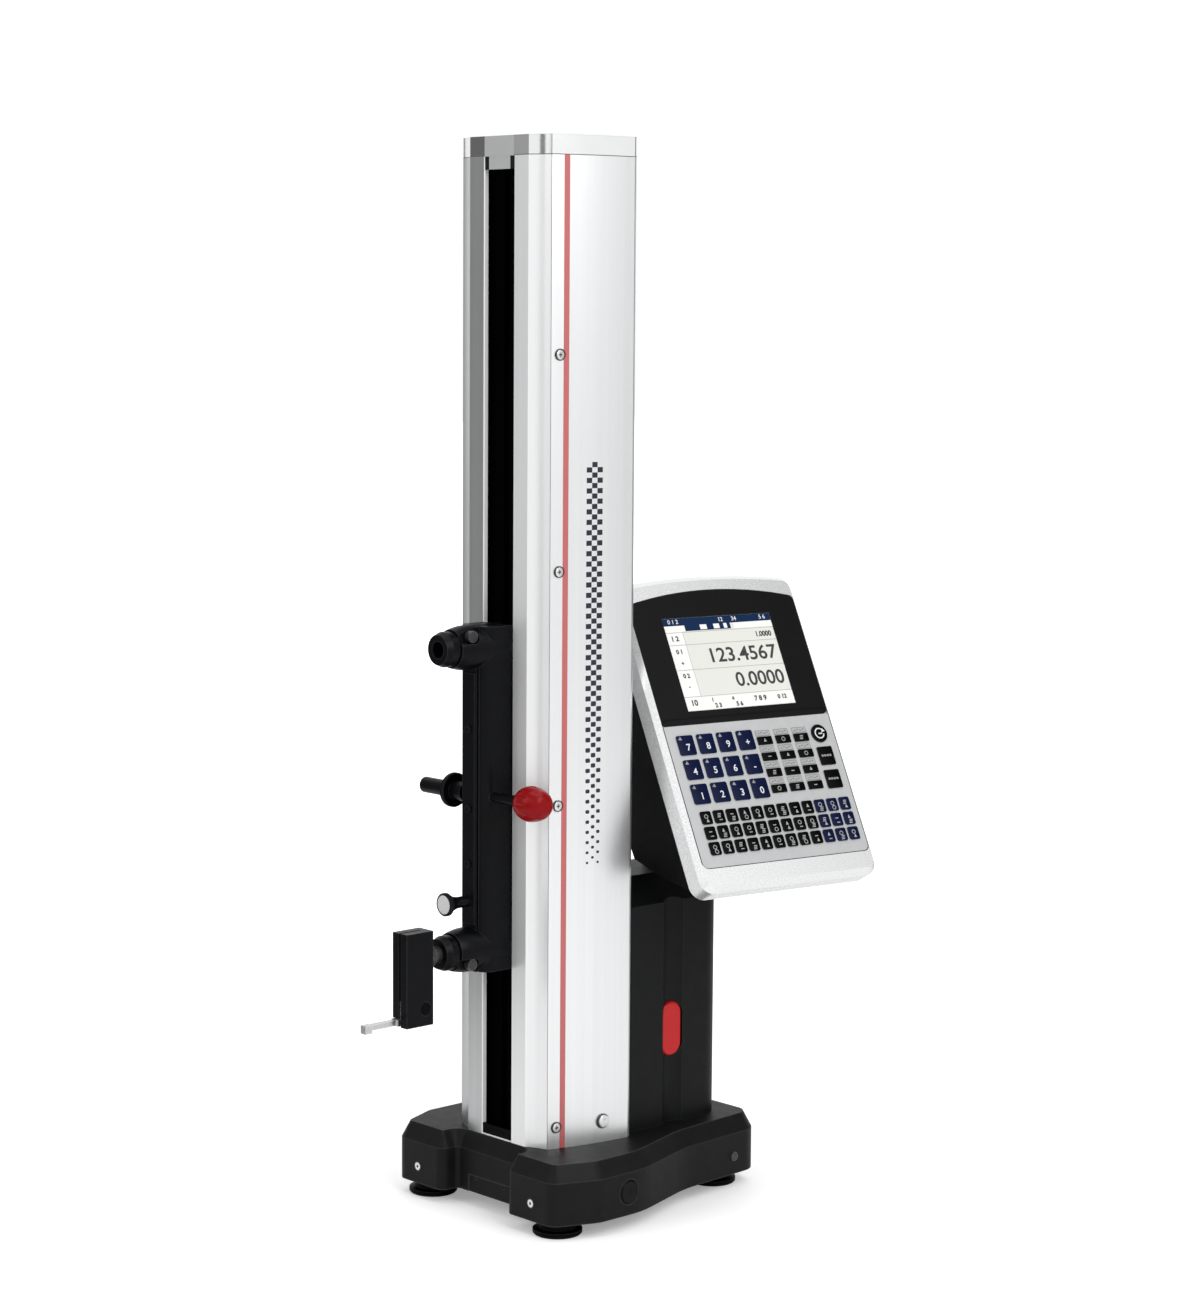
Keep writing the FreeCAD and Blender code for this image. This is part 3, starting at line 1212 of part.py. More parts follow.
def rear_shell():
    """Wedge-shaped rear shell, open to the frame, with a thick neck round the swivel post."""
    body = new_body("display_shell")
    shape = [back_plane("-(panel_low - 6)"), back_plane("panel_high - 5"), ("-12", "575"), ("-34", "530"),
             ("-34", "neck_low + 14"), ("-24", "neck_low"), ("30", "neck_low"), ("48", "347"), ("58", "331"),
             ("103.7", "321.2")]
    pad(body, "front", "screen_along - shell_half", "screen_along + shell_half", shape)
    ends_at = (value("screen_along - shell_half"), value("screen_along + shell_half"))
    corners = [(value(out), value(up)) for out, up in shape[2:]]
    dress(body, "Fillet", "shell_edge", lambda middle, ends: rear_edge(middle, ends, ends_at, corners[:4]))
    pocket(body, "front", "screen_along - shell_half + shell_wall", "screen_along + shell_half - shell_wall", [
        ("175", "320"), ("32", "572"), ("-10", "571"), ("-30", "529"), ("-30", "post_top + 6"),
        ("34", "post_top + 6"), ("34", "neck_low + 4"), ("51", "351"), ("61", "335.5"), ("104", "326")])
    pocket(body, "top", "neck_low - 1", "post_top + 0.6", ("0", "0", "post_radius + running_gap"))
    body.Placement = Placement(Vector(0, 0, 0), Rotation(Vector(0, 0, 1), -value("head_yaw")))
    bind(body, "Placement.Base.y", "post_back")
    return body


# The whole gauge

def stand_on_origin():
    """Move every piece so that the origin is under the middle of the gauge's box."""
    box = pieces[0].Shape.BoundBox
    for piece in pieces[1:]:
        box.add(piece.Shape.BoundBox)
    row = len(SIZES) + 2
    for name, size in (("origin_side", box.Center.x), ("origin_back", box.Center.y)):
        sheet.set("A%d" % row, name)
        sheet.set("B%d" % row, "%.4f" % size)
        sheet.setAlias("B%d" % row, name)
        row += 1
    doc.recompute()
    for piece in pieces:
        old = {path.lstrip("."): words for path, words in piece.ExpressionEngine}
        for axis, name in (("x", "origin_side"), ("y", "origin_back")):
            path = "Placement.Base." + axis
            piece.setExpression(path, "(%s) - Sizes.%s" % (old.get(path, "0"), name))
    doc.recompute()
    print("origin_side %.4f origin_back %.4f" % (box.Center.x, box.Center.y))


def check_and_write():
    """Stop at a failed feature, else write one file for each sub-part."""
    for thing in doc.Objects:
        if "Invalid" in thing.State or "Error" in thing.State:
            raise RuntimeError("%s (%s) is %s" % (thing.Name, thing.Label, thing.State))
    os.makedirs("parts", exist_ok=True)
    for piece in pieces:
        shape = piece.Shape
        if shape.isNull() or not shape.isValid():
            raise RuntimeError("%s has no valid shape" % piece.Label)
        shape.exportStep("parts/%s.step" % piece.Label)
    print("%d sub-parts, %d solids" % (len(pieces), sum(len(p.Shape.Solids) for p in pieces)))


def main():
    fill_sheet()
    for make in (base_casting, base_floor, feet, base_screws, base_plugs,
                 column_extrusion, front_strips, side_covers, rear_cover, column_screws, column_cap, slot_sill,
                 slot_lips, guide_rails, linear_scale, belt, pulleys, drive_motor, counterweight,
                 carriage, carriage_bearings, reading_head, slider_beam, slider_cover, slider_screws,
                 boss_collars, boss_clamp_screws, handle_rod, drive_knob, lock_knob,
                 probe_holder, probe_shaft, holder_screw, stylus,
                 housing, battery_door, housing_contents, air_button, swivel_post,
                 display_frame, bezel, screen_glass, keypad_sheet, screen_module, rear_shell):
        make()
    bracket("upper_bracket", "pulley_high", "axle_radius")
    bracket("drive_bracket", "pulley_low", "axle_radius + running_gap")
    doc.recompute()
    stand_on_origin()
    check_and_write()


main()
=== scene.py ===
# %% [markdown]
# # A height gauge on air feet
#
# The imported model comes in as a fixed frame: a tall column with a slider in its slot, a heavy base, a grip
# housing and a display head on a swivel post. This lesson gives each piece its finish and adds what is too
# fine for the solids: printed stripes, screw heads, key caps, the picture on the screen and the studio
# round it all.

# %% Load the frame
import math

import bpy
from mathutils import Matrix, Quaternion, Vector


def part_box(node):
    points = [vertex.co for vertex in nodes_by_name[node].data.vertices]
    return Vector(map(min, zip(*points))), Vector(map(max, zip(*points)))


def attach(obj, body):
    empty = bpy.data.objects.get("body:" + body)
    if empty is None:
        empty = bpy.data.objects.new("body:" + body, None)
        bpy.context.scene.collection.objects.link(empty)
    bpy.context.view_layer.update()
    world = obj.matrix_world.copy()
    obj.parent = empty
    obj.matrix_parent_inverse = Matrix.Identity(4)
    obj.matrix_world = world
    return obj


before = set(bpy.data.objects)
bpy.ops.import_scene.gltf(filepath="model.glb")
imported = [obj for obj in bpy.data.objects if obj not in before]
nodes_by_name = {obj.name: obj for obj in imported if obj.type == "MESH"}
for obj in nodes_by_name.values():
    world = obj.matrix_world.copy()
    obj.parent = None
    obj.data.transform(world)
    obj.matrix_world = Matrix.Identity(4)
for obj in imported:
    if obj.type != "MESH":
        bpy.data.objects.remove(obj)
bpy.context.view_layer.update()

# %% [markdown]
# The solids were drawn from the column: its centre line, its front face and the plate underneath. The
# frame's own origin is under the middle of the whole gauge, so one helper turns those easy numbers, in
# millimetres, into places in the frame. The display head leans and is turned a little, so it gets a helper
# of its own: across the panel, up the panel and out of its face.

# %% Places on the column and on the panel
cap_low, cap_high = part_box("column_cap")
CENTRE_X = (cap_low[0] + cap_high[0]) / 2
FACE_Y = cap_low[1]


def spot(x, y, z):
    """A point in millimetres from the column's centre line, its front face and the plate."""
    return Vector((CENTRE_X + x / 1000, FACE_Y + y / 1000, z / 1000))


# The head's turn and lean, and the middle of its screen: out from the post, along the panel and up
HEAD_YAW = math.radians(9.36)
HEAD_LEAN = math.radians(28.81)
SCREEN_OUT = 0.08065
SCREEN_ALONG = 0.0313
SCREEN_UP = 0.5193
POST = spot(0, 205, 0)
out = Vector((math.cos(HEAD_YAW), -math.sin(HEAD_YAW), 0))
panel_across = Vector((math.sin(HEAD_YAW), math.cos(HEAD_YAW), 0))
panel_up = -out * math.sin(HEAD_LEAN) + Vector((0, 0, math.cos(HEAD_LEAN)))
panel_out = out * math.cos(HEAD_LEAN) + Vector((0, 0, math.sin(HEAD_LEAN)))
PANEL_MIDDLE = POST + out * SCREEN_OUT + panel_across * SCREEN_ALONG + Vector((0, 0, SCREEN_UP))
PANEL = Matrix((panel_across, panel_up, panel_out)).transposed().to_4x4()
PANEL.translation = PANEL_MIDDLE
print("screen middle", [round(v, 4) for v in PANEL_MIDDLE])

# %% [markdown]
# Pieces are modelled the way one would by hand: a primitive, a few edit mode operators, then a modifier.
# These small helpers keep that short. Every finished piece ends with its object at the origin and its place
# in its mesh, as the CAD pieces are, so that patterns on Object coordinates stay where they belong.


# %% Modelling helpers
def only(thing):
    """Select one object and nothing else."""
    if bpy.context.object and bpy.context.object.mode != "OBJECT":
        bpy.ops.object.mode_set(mode="OBJECT")
    bpy.ops.object.select_all(action="DESELECT")
    thing.select_set(True)
    bpy.context.view_layer.objects.active = thing


def pick_faces(thing, test):
    """In edit mode, select the faces whose middle and normal pass a test."""
    bpy.ops.object.mode_set(mode="OBJECT")
    for edge in thing.data.edges:
        edge.select = False
    for vertex in thing.data.vertices:
        vertex.select = False
    for face in thing.data.polygons:
        face.select = test(face.center, face.normal)
    bpy.ops.object.mode_set(mode="EDIT")
    bpy.ops.mesh.select_mode(type="FACE")


def sized(thing, across, up, high=1):
    """Scale the mesh of a new primitive in edit mode; it comes in with all of it selected."""
    bpy.ops.object.mode_set(mode="EDIT")
    bpy.ops.transform.resize(value=(across, up, high))
    bpy.ops.object.mode_set(mode="OBJECT")
    return thing


def rectangle(name, wide, tall):
    """A flat rectangle, sizes in metres."""
    bpy.ops.object.select_all(action="DESELECT")
    bpy.ops.mesh.primitive_plane_add(size=1)
    thing = sized(bpy.context.object, wide, tall)
    thing.name = name
    return thing


def rim_only(thickness):
    """In edit mode, inset every face and delete it, so that only its rim is left."""
    bpy.ops.mesh.select_mode(type="FACE")
    bpy.ops.mesh.select_all(action="SELECT")
    bpy.ops.mesh.inset(thickness=thickness)
    bpy.ops.mesh.delete(type="FACE")


def apply_modifier(thing, kind, **settings):
    """Add a modifier, set it up and apply it."""
    only(thing)
    modifier = thing.modifiers.new(kind.title(), kind)
    for name, setting in settings.items():
        setattr(modifier, name, setting)
    bpy.ops.object.modifier_apply(modifier=modifier.name)


def settle(thing, matrix):
    """Move the mesh to its place in the frame and leave the object at the origin."""
    thing.data.transform(matrix @ thing.matrix_basis)
    thing.matrix_basis = Matrix.Identity(4)
    thing.data.update()
    return thing


def joined(things, name):
    """Several meshes as one piece."""
    only(things[0])
    for thing in things[1:]:
        thing.select_set(True)
    bpy.ops.object.join()
    things[0].name = name
    return things[0]


def copies(pattern, matrices, name):
    """The pattern, each copy with its own mesh, put at each matrix and joined to one piece."""
    made = []
    for matrix in matrices:
        twin = pattern.copy()
        twin.data = pattern.data.copy()
        bpy.context.collection.objects.link(twin)
        made.append(settle(twin, matrix))
    bpy.data.objects.remove(pattern)
    piece = joined(made, name)
    print(name, len(made), "copies,", len(piece.data.polygons), "faces")
    return piece


def towards(place, direction):
    """Matrix that puts a piece's own Z along a direction at a place."""
    turn = Vector(direction).to_track_quat("Z", "Y").to_matrix().to_4x4()
    return Matrix.Translation(place) @ turn


# %% [markdown]
# ## Effects that several finishes share
#
# A worn or handled surface is never even. Four small node groups give the masks that the materials use:
# rubbed edges, which also carry painted highlights along edges, a fine grain, brush lines that run one way,
# and the faint marks of hands. They put out only numbers from nought to one, and every material decides for
# itself what to do with them.


# %% Group helper
def new_group(name, inputs, outputs):
    """A shader node group with number sockets."""
    group = bpy.data.node_groups.new(name, "ShaderNodeTree")
    for label, start in inputs:
        kind = "NodeSocketVector" if isinstance(start, tuple) else "NodeSocketFloat"
        socket = group.interface.new_socket(name=label, in_out="INPUT", socket_type=kind)
        socket.default_value = start
    for label in outputs:
        group.interface.new_socket(name=label, in_out="OUTPUT", socket_type="NodeSocketFloat")
    entry = group.nodes.new("NodeGroupInput")
    leave = group.nodes.new("NodeGroupOutput")
    return group, entry, leave


def wire(tree, start, end):
    """Link an output to an input."""
    tree.links.new(start, end)


def calc(tree, operation, first, second=None, clamp=False):
    """A Math node; plain numbers go into its sockets, sockets are linked."""
    node = tree.nodes.new("ShaderNodeMath")
    node.operation = operation
    node.use_clamp = clamp
    for socket, given in zip(node.inputs, (first, second)):
        if given is None:
            continue
        if isinstance(given, (int, float)):
            socket.default_value = given
        else:
            wire(tree, given, socket)
    return node.outputs[0]


# %% Rubbed edges and painted edge highlights
rub_and_highlight_group, entry, leave = new_group("Rubbed edges and highlights", [("Radius", 0.0012), ("Gain", 6.0)], ["Mask"])
bevel = rub_and_highlight_group.nodes.new("ShaderNodeBevel")
bevel.samples = 4
facts = rub_and_highlight_group.nodes.new("ShaderNodeNewGeometry")
dot = rub_and_highlight_group.nodes.new("ShaderNodeVectorMath")
dot.operation = "DOT_PRODUCT"
wire(rub_and_highlight_group, entry.outputs["Radius"], bevel.inputs["Radius"])
wire(rub_and_highlight_group, bevel.outputs["Normal"], dot.inputs[0])
wire(rub_and_highlight_group, facts.outputs["Normal"], dot.inputs[1])
bent = calc(rub_and_highlight_group, "SUBTRACT", 1.0, dot.outputs["Value"])
wire(rub_and_highlight_group, calc(rub_and_highlight_group, "MULTIPLY", bent, entry.outputs["Gain"], clamp=True), leave.inputs["Mask"])

# %% Fine grain
grain_group, entry, leave = new_group("Fine grain", [("Scale", 900.0), ("Detail", 3.0)], ["Height", "Tint"])
place = grain_group.nodes.new("ShaderNodeTexCoord")
for label, detail_scale in (("Height", 1.0), ("Tint", 0.04)):
    noise = grain_group.nodes.new("ShaderNodeTexNoise")
    wire(grain_group, place.outputs["Object"], noise.inputs["Vector"])
    wire(grain_group, calc(grain_group, "MULTIPLY", entry.outputs["Scale"], detail_scale),
         noise.inputs["Scale"])
    wire(grain_group, entry.outputs["Detail"], noise.inputs["Detail"])
    wire(grain_group, noise.outputs["Fac"], leave.inputs[label])

# %% Brush lines
brush_group, entry, leave = new_group("Brush lines", [("Fineness", (900.0, 900.0, 12.0))], ["Height", "Tint"])
place = brush_group.nodes.new("ShaderNodeTexCoord")
stretch = brush_group.nodes.new("ShaderNodeVectorMath")
stretch.operation = "MULTIPLY"
wire(brush_group, place.outputs["Object"], stretch.inputs[0])
wire(brush_group, entry.outputs["Fineness"], stretch.inputs[1])
for label, scale in (("Height", 1.0), ("Tint", 0.12)):
    noise = brush_group.nodes.new("ShaderNodeTexNoise")
    noise.inputs["Scale"].default_value = scale
    noise.inputs["Detail"].default_value = 4
    wire(brush_group, stretch.outputs["Vector"], noise.inputs["Vector"])
    wire(brush_group, noise.outputs["Fac"], leave.inputs[label])

# %% Hand marks
hand_group, entry, leave = new_group("Hand marks", [("Scale", 14.0), ("Strength", 0.5)], ["Mask"])
place = hand_group.nodes.new("ShaderNodeTexCoord")
parts = []
for factor in (1.0, 7.0):
    noise = hand_group.nodes.new("ShaderNodeTexNoise")
    noise.inputs["Detail"].default_value = 5
    wire(hand_group, place.outputs["Object"], noise.inputs["Vector"])
    wire(hand_group, calc(hand_group, "MULTIPLY", entry.outputs["Scale"], factor), noise.inputs["Scale"])
    parts.append(noise.outputs["Fac"])
both = calc(hand_group, "MULTIPLY", parts[0], parts[1])
wire(hand_group, calc(hand_group, "MULTIPLY", both, entry.outputs["Strength"], clamp=True),
     leave.inputs["Mask"])
print("groups:", sorted(g.name for g in bpy.data.node_groups))

# %% [markdown]
# Most finishes are the same recipe with other numbers: a colour that drifts a little, a roughness that
# hands and machining change, a bump from the grain, and edges painted in another tone, partly as wear where
# the paint or the anodising is thinner and partly as a painted highlight. One helper builds that recipe.


# %% The common finish
GRAIN_ROUGHNESS = 0.12


def use_group(tree, group, **values):
    """A shared group placed in a material, with its inputs set."""
    node = tree.nodes.new("ShaderNodeGroup")
    node.node_tree = group
    for name, given in values.items():
        node.inputs[name].default_value = given
    return node


def mix_colour(tree, factor, first, second):
    """Mix two colours, given as tuples or sockets, by a mask."""
    node = tree.nodes.new("ShaderNodeMix")
    node.data_type = "RGBA"
    if isinstance(factor, (int, float)):
        node.inputs[0].default_value = factor
    else:
        wire(tree, factor, node.inputs[0])
    for socket, given in ((node.inputs[6], first), (node.inputs[7], second)):
        if isinstance(given, tuple):
            socket.default_value = (*given, 1)
        else:
            wire(tree, given, socket)
    return node.outputs[2]


def blank(name):
    """An empty material with its Principled shader."""
    material = bpy.data.materials.new(name)
    material.use_nodes = True
    return material, material.node_tree, material.node_tree.nodes["Principled BSDF"]


def finish_of(name, dark, light, rough, metal=0.0, grain=900.0, bump=0.1, edge=None, edge_gain=6.0,
              hands=0.25, brushed=None, coat=0.0, depth=0.0002, gloss=0.5, edge_radius=0.0012):
    """The common recipe. dark and light are the ends of the colour's drift."""
    material, tree, shader = blank(name)
    if brushed:
        lines = use_group(tree, brush_group, Fineness=brushed)
    else:
        lines = use_group(tree, grain_group, Scale=grain)
    colour = mix_colour(tree, lines.outputs["Tint"], dark, light)
    marks = use_group(tree, hand_group, Strength=hands)
    # Edge colour: partly wear, partly a painted highlight along the edges
    if edge:
        rubbed_and_highlight = use_group(tree, rub_and_highlight_group, Gain=edge_gain, Radius=edge_radius).outputs["Mask"]
        colour = mix_colour(tree, rubbed_and_highlight, colour, edge)
    wire(tree, colour, shader.inputs["Base Color"])
    uneven = calc(tree, "MULTIPLY", lines.outputs["Height"], GRAIN_ROUGHNESS)
    handled = calc(tree, "ADD", uneven, marks.outputs["Mask"])
    wire(tree, calc(tree, "ADD", handled, rough - GRAIN_ROUGHNESS / 2, clamp=True),
         shader.inputs["Roughness"])
    shader.inputs["Metallic"].default_value = metal
    shader.inputs["Coat Weight"].default_value = coat
    shader.inputs["Specular IOR Level"].default_value = gloss
    height = tree.nodes.new("ShaderNodeBump")
    height.inputs["Strength"].default_value = bump
    height.inputs["Distance"].default_value = depth
    wire(tree, lines.outputs["Height"], height.inputs["Height"])
    wire(tree, height.outputs["Normal"], shader.inputs["Normal"])
    return material


def axes(tree):
    """The surface's place across, into and up the gauge."""
    place = tree.nodes.new("ShaderNodeTexCoord")
    split = tree.nodes.new("ShaderNodeSeparateXYZ")
    wire(tree, place.outputs["Object"], split.inputs[0])
    return split.outputs["X"], split.outputs["Y"], split.outputs["Z"]


def between(tree, value_socket, low, high):
    """Mask of one where the value lies between two numbers."""
    over = calc(tree, "GREATER_THAN", value_socket, low)
    under = calc(tree, "LESS_THAN", value_socket, high)
    return calc(tree, "MULTIPLY", over, under)


def repaint(material, mask, paint):
    """Lay a plain colour over a finish where the mask is one, and take its metal away there."""
    tree = material.node_tree
    shader = tree.nodes["Principled BSDF"]
    under = shader.inputs["Base Color"].links[0].from_socket
    wire(tree, mix_colour(tree, mask, under, paint), shader.inputs["Base Color"])
    metal = shader.inputs["Metallic"]
    start = metal.links[0].from_socket if metal.links else metal.default_value
    wire(tree, calc(tree, "MULTIPLY", start, calc(tree, "SUBTRACT", 1.0, mask)), metal)


def off_centre(tree, across):
    """Distance from the column's centre line, the same on both sides."""
    return calc(tree, "ABSOLUTE", calc(tree, "SUBTRACT", across, CENTRE_X))


def dress(material, *names):
    """Give CAD pieces their finish."""
    for name in names:
        piece = nodes_by_name[name]
        piece.data.materials.clear()
        piece.data.materials.append(material)
    print(material.name, "on", ", ".join(names))


# %% [markdown]
# ## Black pieces
#
# The base is cast iron under a satin black texture paint. The grip housing is moulded, finer and a little
# smoother. The slider's parts are aluminium, anodised black, and their edges get a trace of grey, partly as
# wear and partly as a painted highlight; the clamp screws in its bosses are greyer. The round plugs in the
# base have painted shade for the gap round them and for a coin slot. The parts seen inside the column's slot
# are painted near black as painted shade.

# %% Black finishes
base_black = finish_of("base_black", (0.0045, 0.0045, 0.005), (0.0095, 0.0095, 0.010), 0.40, grain=1400,
                       bump=0.35, edge=(0.06, 0.06, 0.062), edge_gain=8, hands=0.22, depth=0.00025,
                       gloss=0.12, edge_radius=0.0018)
housing_black = finish_of("housing_black", (0.0045, 0.0048, 0.0054), (0.008, 0.0084, 0.009), 0.40, grain=2200,
                          bump=0.2, edge=(0.035, 0.035, 0.037), hands=0.2, gloss=0.12)
shell_black = finish_of("shell_black", (0.0014, 0.0015, 0.0018), (0.003, 0.0031, 0.0035), 0.42, grain=2200,
                        bump=0.2, edge=(0.016, 0.016, 0.017), hands=0.2, gloss=0.06)
slider_black = finish_of("slider_black", (0.0012, 0.0014, 0.002), (0.003, 0.0033, 0.0042), 0.28, grain=1800,
                         bump=0.12, edge=(0.035, 0.036, 0.04), hands=0.2, gloss=0.1)
bezel_black = finish_of("bezel_black", (0.005, 0.005, 0.0052), (0.008, 0.008, 0.0082), 0.22, grain=600,
                        bump=0.03, edge=(0.03, 0.03, 0.03), hands=0.1, gloss=0.1)
foot_black = finish_of("foot_black", (0.0006, 0.0006, 0.0006), (0.0016, 0.0016, 0.0016), 0.35, grain=500,
                       bump=0.1, edge=(0.03, 0.03, 0.03), hands=0.3, gloss=0.05)
# Painted shade: the parts seen deep in the column's slot are painted near black
slot_shade = finish_of("slot_shade", (0.0003, 0.0003, 0.0003), (0.0007, 0.0007, 0.0007), 0.8, grain=700,
                       bump=0.1, hands=0.05, gloss=0.01)
clamp_grey = finish_of("clamp_grey", (0.022, 0.022, 0.024), (0.04, 0.04, 0.042), 0.3, grain=900, bump=0.08,
                       edge=(0.12, 0.12, 0.12), hands=0.15, gloss=0.3)


# Painted shade: the gap round each plug and its coin slot are painted dark, not cut
GAP_SHADE = (0.0006, 0.0006, 0.0006)
PLUG_GAP = 0.0017
COIN_SLOT_HALF_WIDTH = 0.0006
COIN_SLOT_HALF_LENGTH = 0.004


def plug_finish():
    """Plug face like the casting, with painted shade for the gap round it and for a coin slot."""
    material = finish_of("plug_black", (0.005, 0.005, 0.0054), (0.009, 0.009, 0.0094), 0.4, grain=900,
                         bump=0.1, hands=0.2, gloss=0.1)
    tree = material.node_tree
    low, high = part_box("base_plugs")
    _, back, up = axes(tree)
    back_off = calc(tree, "SUBTRACT", back, (low[1] + high[1]) / 2)
    up_off = calc(tree, "SUBTRACT", up, (low[2] + high[2]) / 2)
    back_square = calc(tree, "MULTIPLY", back_off, back_off)
    up_square = calc(tree, "MULTIPLY", up_off, up_off)
    radius = calc(tree, "SQRT", calc(tree, "ADD", back_square, up_square))
    plug_gap_shade = calc(tree, "GREATER_THAN", radius, (high[2] - low[2]) / 2 - PLUG_GAP)
    thin = between(tree, back_off, -COIN_SLOT_HALF_WIDTH, COIN_SLOT_HALF_WIDTH)
    coin_slot_shade = calc(tree, "MULTIPLY", thin, between(tree, up_off, -COIN_SLOT_HALF_LENGTH, COIN_SLOT_HALF_LENGTH))
    repaint(material, calc(tree, "MAXIMUM", plug_gap_shade, coin_slot_shade), GAP_SHADE)
    return material


dress(base_black, "base_casting", "base_floor")
dress(housing_black, "grip_housing", "battery_door", "button_guide")
dress(shell_black, "display_shell", "swivel_collar")
dress(slider_black, "slider_beam", "slider_cover", "boss_collars", "handle_rod", "probe_holder", "lock_knob",
      "knob_shaft", "slider_screws")
dress(clamp_grey, "boss_clamp_screws")
dress(foot_black, "air_feet", "holder_screw")
dress(plug_finish(), "base_plugs")
# Painted shade of the slot on the parts inside it
dress(slot_shade, "slot_lips", "drive_belt", "column_extrusion", "carriage", "reading_head")
dress(bezel_black, "display_bezel")

# %% [markdown]
# ## Bright metal
#
# The column is drawn aluminium. Its sides are brushed nearly white, its front is satin, with painted shade
# making it darker at the left of the slot, and the cap and the display frame are finer. The brush lines run
# up the column, because that is how the profile was ground. The cap has a lighter tab over the slot, a line
# of painted shade at its joint, and painted shade at its left front and where it hangs beside the tab. The
# front has a painted highlight along the slot's edge and painted shade on one inner wall of the slot, and
# the sill under the slot is painted dark as the slot's shade, with one bright line of its own metal.

# %% Metal finishes
CAP_TALL = 0.0184
JOINT_UP = cap_high[2] - CAP_TALL
JOINT_LINE = 0.0008
JOINT_PLAY = 0.0001
# Painted shade of the slot, laid on metal that is seen in or beside it
SLOT_SHADE = (0.0008, 0.0008, 0.0008)
SILL_LINE = 0.0016

# Distances from the centre line: the slot's edge with its painted highlight, the tab, the part of it that
# hangs, the flat front
HIGHLIGHT_EDGE_SIDE = 0.0213
TAB_SIDE = 0.0205
HANGING_SIDE = 0.0148
FRONT_SIDE = 0.0412

# What lies less far behind the column's face than this belongs to the front
FRONT_BACK = FACE_Y + 0.0011


def strip_finish(name, dark, light, metal, shaded_inside):
    """Satin front metal with a painted highlight along the slot's edge; one wall of the slot gets painted
    shade.
    """
    material = finish_of(name, dark, light, 0.30, metal=metal, brushed=(1400.0, 1400.0, 6.0), bump=0.12,
                         hands=0.1)
    tree = material.node_tree
    across, back, _ = axes(tree)
    edge = calc(tree, "LESS_THAN", off_centre(tree, across), HIGHLIGHT_EDGE_SIDE)
    # Painted highlight along the slot's edge
    repaint(material, edge, (0.90, 0.90, 0.90))
    if not shaded_inside:
        return material
    # Painted shade on the inner wall of the slot
    inner_shade = calc(tree, "MULTIPLY", edge, calc(tree, "GREATER_THAN", back, FRONT_BACK))
    repaint(material, inner_shade, SLOT_SHADE)
    return material


def cap_finish():
    """Polished cap: a lighter tab over the slot, painted shade at its left front, a thin line of painted
    shade at the joint at its foot, and painted slot shade where it hangs beside the tab.
    """
    whole_metal = 0.85
    tab_metal_less = 0.3
    material = finish_of("cap_metal", (0.80, 0.805, 0.81), (0.85, 0.855, 0.86), 0.14, metal=whole_metal,
                         grain=1500, bump=0.03, edge=(0.55, 0.55, 0.55), edge_gain=4, hands=0.06)
    tree = material.node_tree
    shader = tree.nodes["Principled BSDF"]
    across, back, up = axes(tree)
    side = off_centre(tree, across)
    front = calc(tree, "LESS_THAN", back, FRONT_BACK)
    tab = calc(tree, "MULTIPLY", front, calc(tree, "LESS_THAN", side, TAB_SIDE))
    # Painted shade: the left front is darker
    left = calc(tree, "MULTIPLY", front, between(tree, across, CENTRE_X - FRONT_SIDE, CENTRE_X - TAB_SIDE))
    colour = mix_colour(tree, left, shader.inputs["Base Color"].links[0].from_socket, (0.33, 0.33, 0.335))
    wire(tree, mix_colour(tree, tab, colour, (0.70, 0.705, 0.71)), shader.inputs["Base Color"])
    less = calc(tree, "MULTIPLY", tab, tab_metal_less)
    wire(tree, calc(tree, "SUBTRACT", whole_metal, less), shader.inputs["Metallic"])
    # Painted shade: a thin dark line at the cap's joint
    joint_shade = between(tree, up, JOINT_UP - JOINT_PLAY, JOINT_UP + JOINT_LINE)
    repaint(material, calc(tree, "MULTIPLY", joint_shade, calc(tree, "SUBTRACT", 1.0, tab)), (0.12, 0.12, 0.12))
    # Painted shade of the slot where the cap hangs beside the tab
    hanging = calc(tree, "LESS_THAN", up, JOINT_UP - JOINT_PLAY)
    beside = calc(tree, "GREATER_THAN", side, HANGING_SIDE)
    repaint(material, calc(tree, "MULTIPLY", hanging, beside), SLOT_SHADE)
    return material


def sill_finish():
    """The sill is painted dark as the shade of the slot, with one bright line of its own metal where it meets
    the base.
    """
    material = finish_of("sill_metal", (0.70, 0.70, 0.70), (0.80, 0.80, 0.80), 0.3, metal=0.3, grain=900,
                         bump=0.05)
    tree = material.node_tree
    # Painted shade above the sill's foot
    black = calc(tree, "GREATER_THAN", axes(tree)[2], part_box("slot_sill")[0][2] + SILL_LINE)
    repaint(material, black, SLOT_SHADE)
    tree.nodes["Principled BSDF"].inputs["Specular IOR Level"].default_value = 0.05
    return material


face_bright = finish_of("face_bright", (0.80, 0.80, 0.80), (0.88, 0.88, 0.88), 0.22, metal=0.35, grain=900,
                        bump=0.03, hands=0.05)
steel = finish_of("ground_steel", (0.50, 0.50, 0.51), (0.62, 0.62, 0.63), 0.24, metal=1.0, grain=900,
                  bump=0.05, edge=(0.8, 0.8, 0.8), hands=0.15)
dark_steel = finish_of("dark_steel", (0.04, 0.04, 0.042), (0.07, 0.07, 0.073), 0.35, metal=0.8, grain=900,
                       bump=0.08, edge=(0.2, 0.2, 0.2))
panel_silver = finish_of("panel_silver", (0.79, 0.795, 0.80), (0.82, 0.825, 0.83), 0.26, metal=0.6,
                         grain=2600, bump=0.015, edge=(0.90, 0.90, 0.90), edge_gain=3, hands=0.02)
sheet_silver = finish_of("sheet_silver", (0.46, 0.465, 0.47), (0.52, 0.525, 0.53), 0.36, metal=0.25,
                         grain=3000, bump=0.06, hands=0.12, gloss=0.3)
dress(strip_finish("front_metal_right", (0.82, 0.825, 0.83), (0.90, 0.905, 0.91), 0.45, True),
      "front_strip_right")
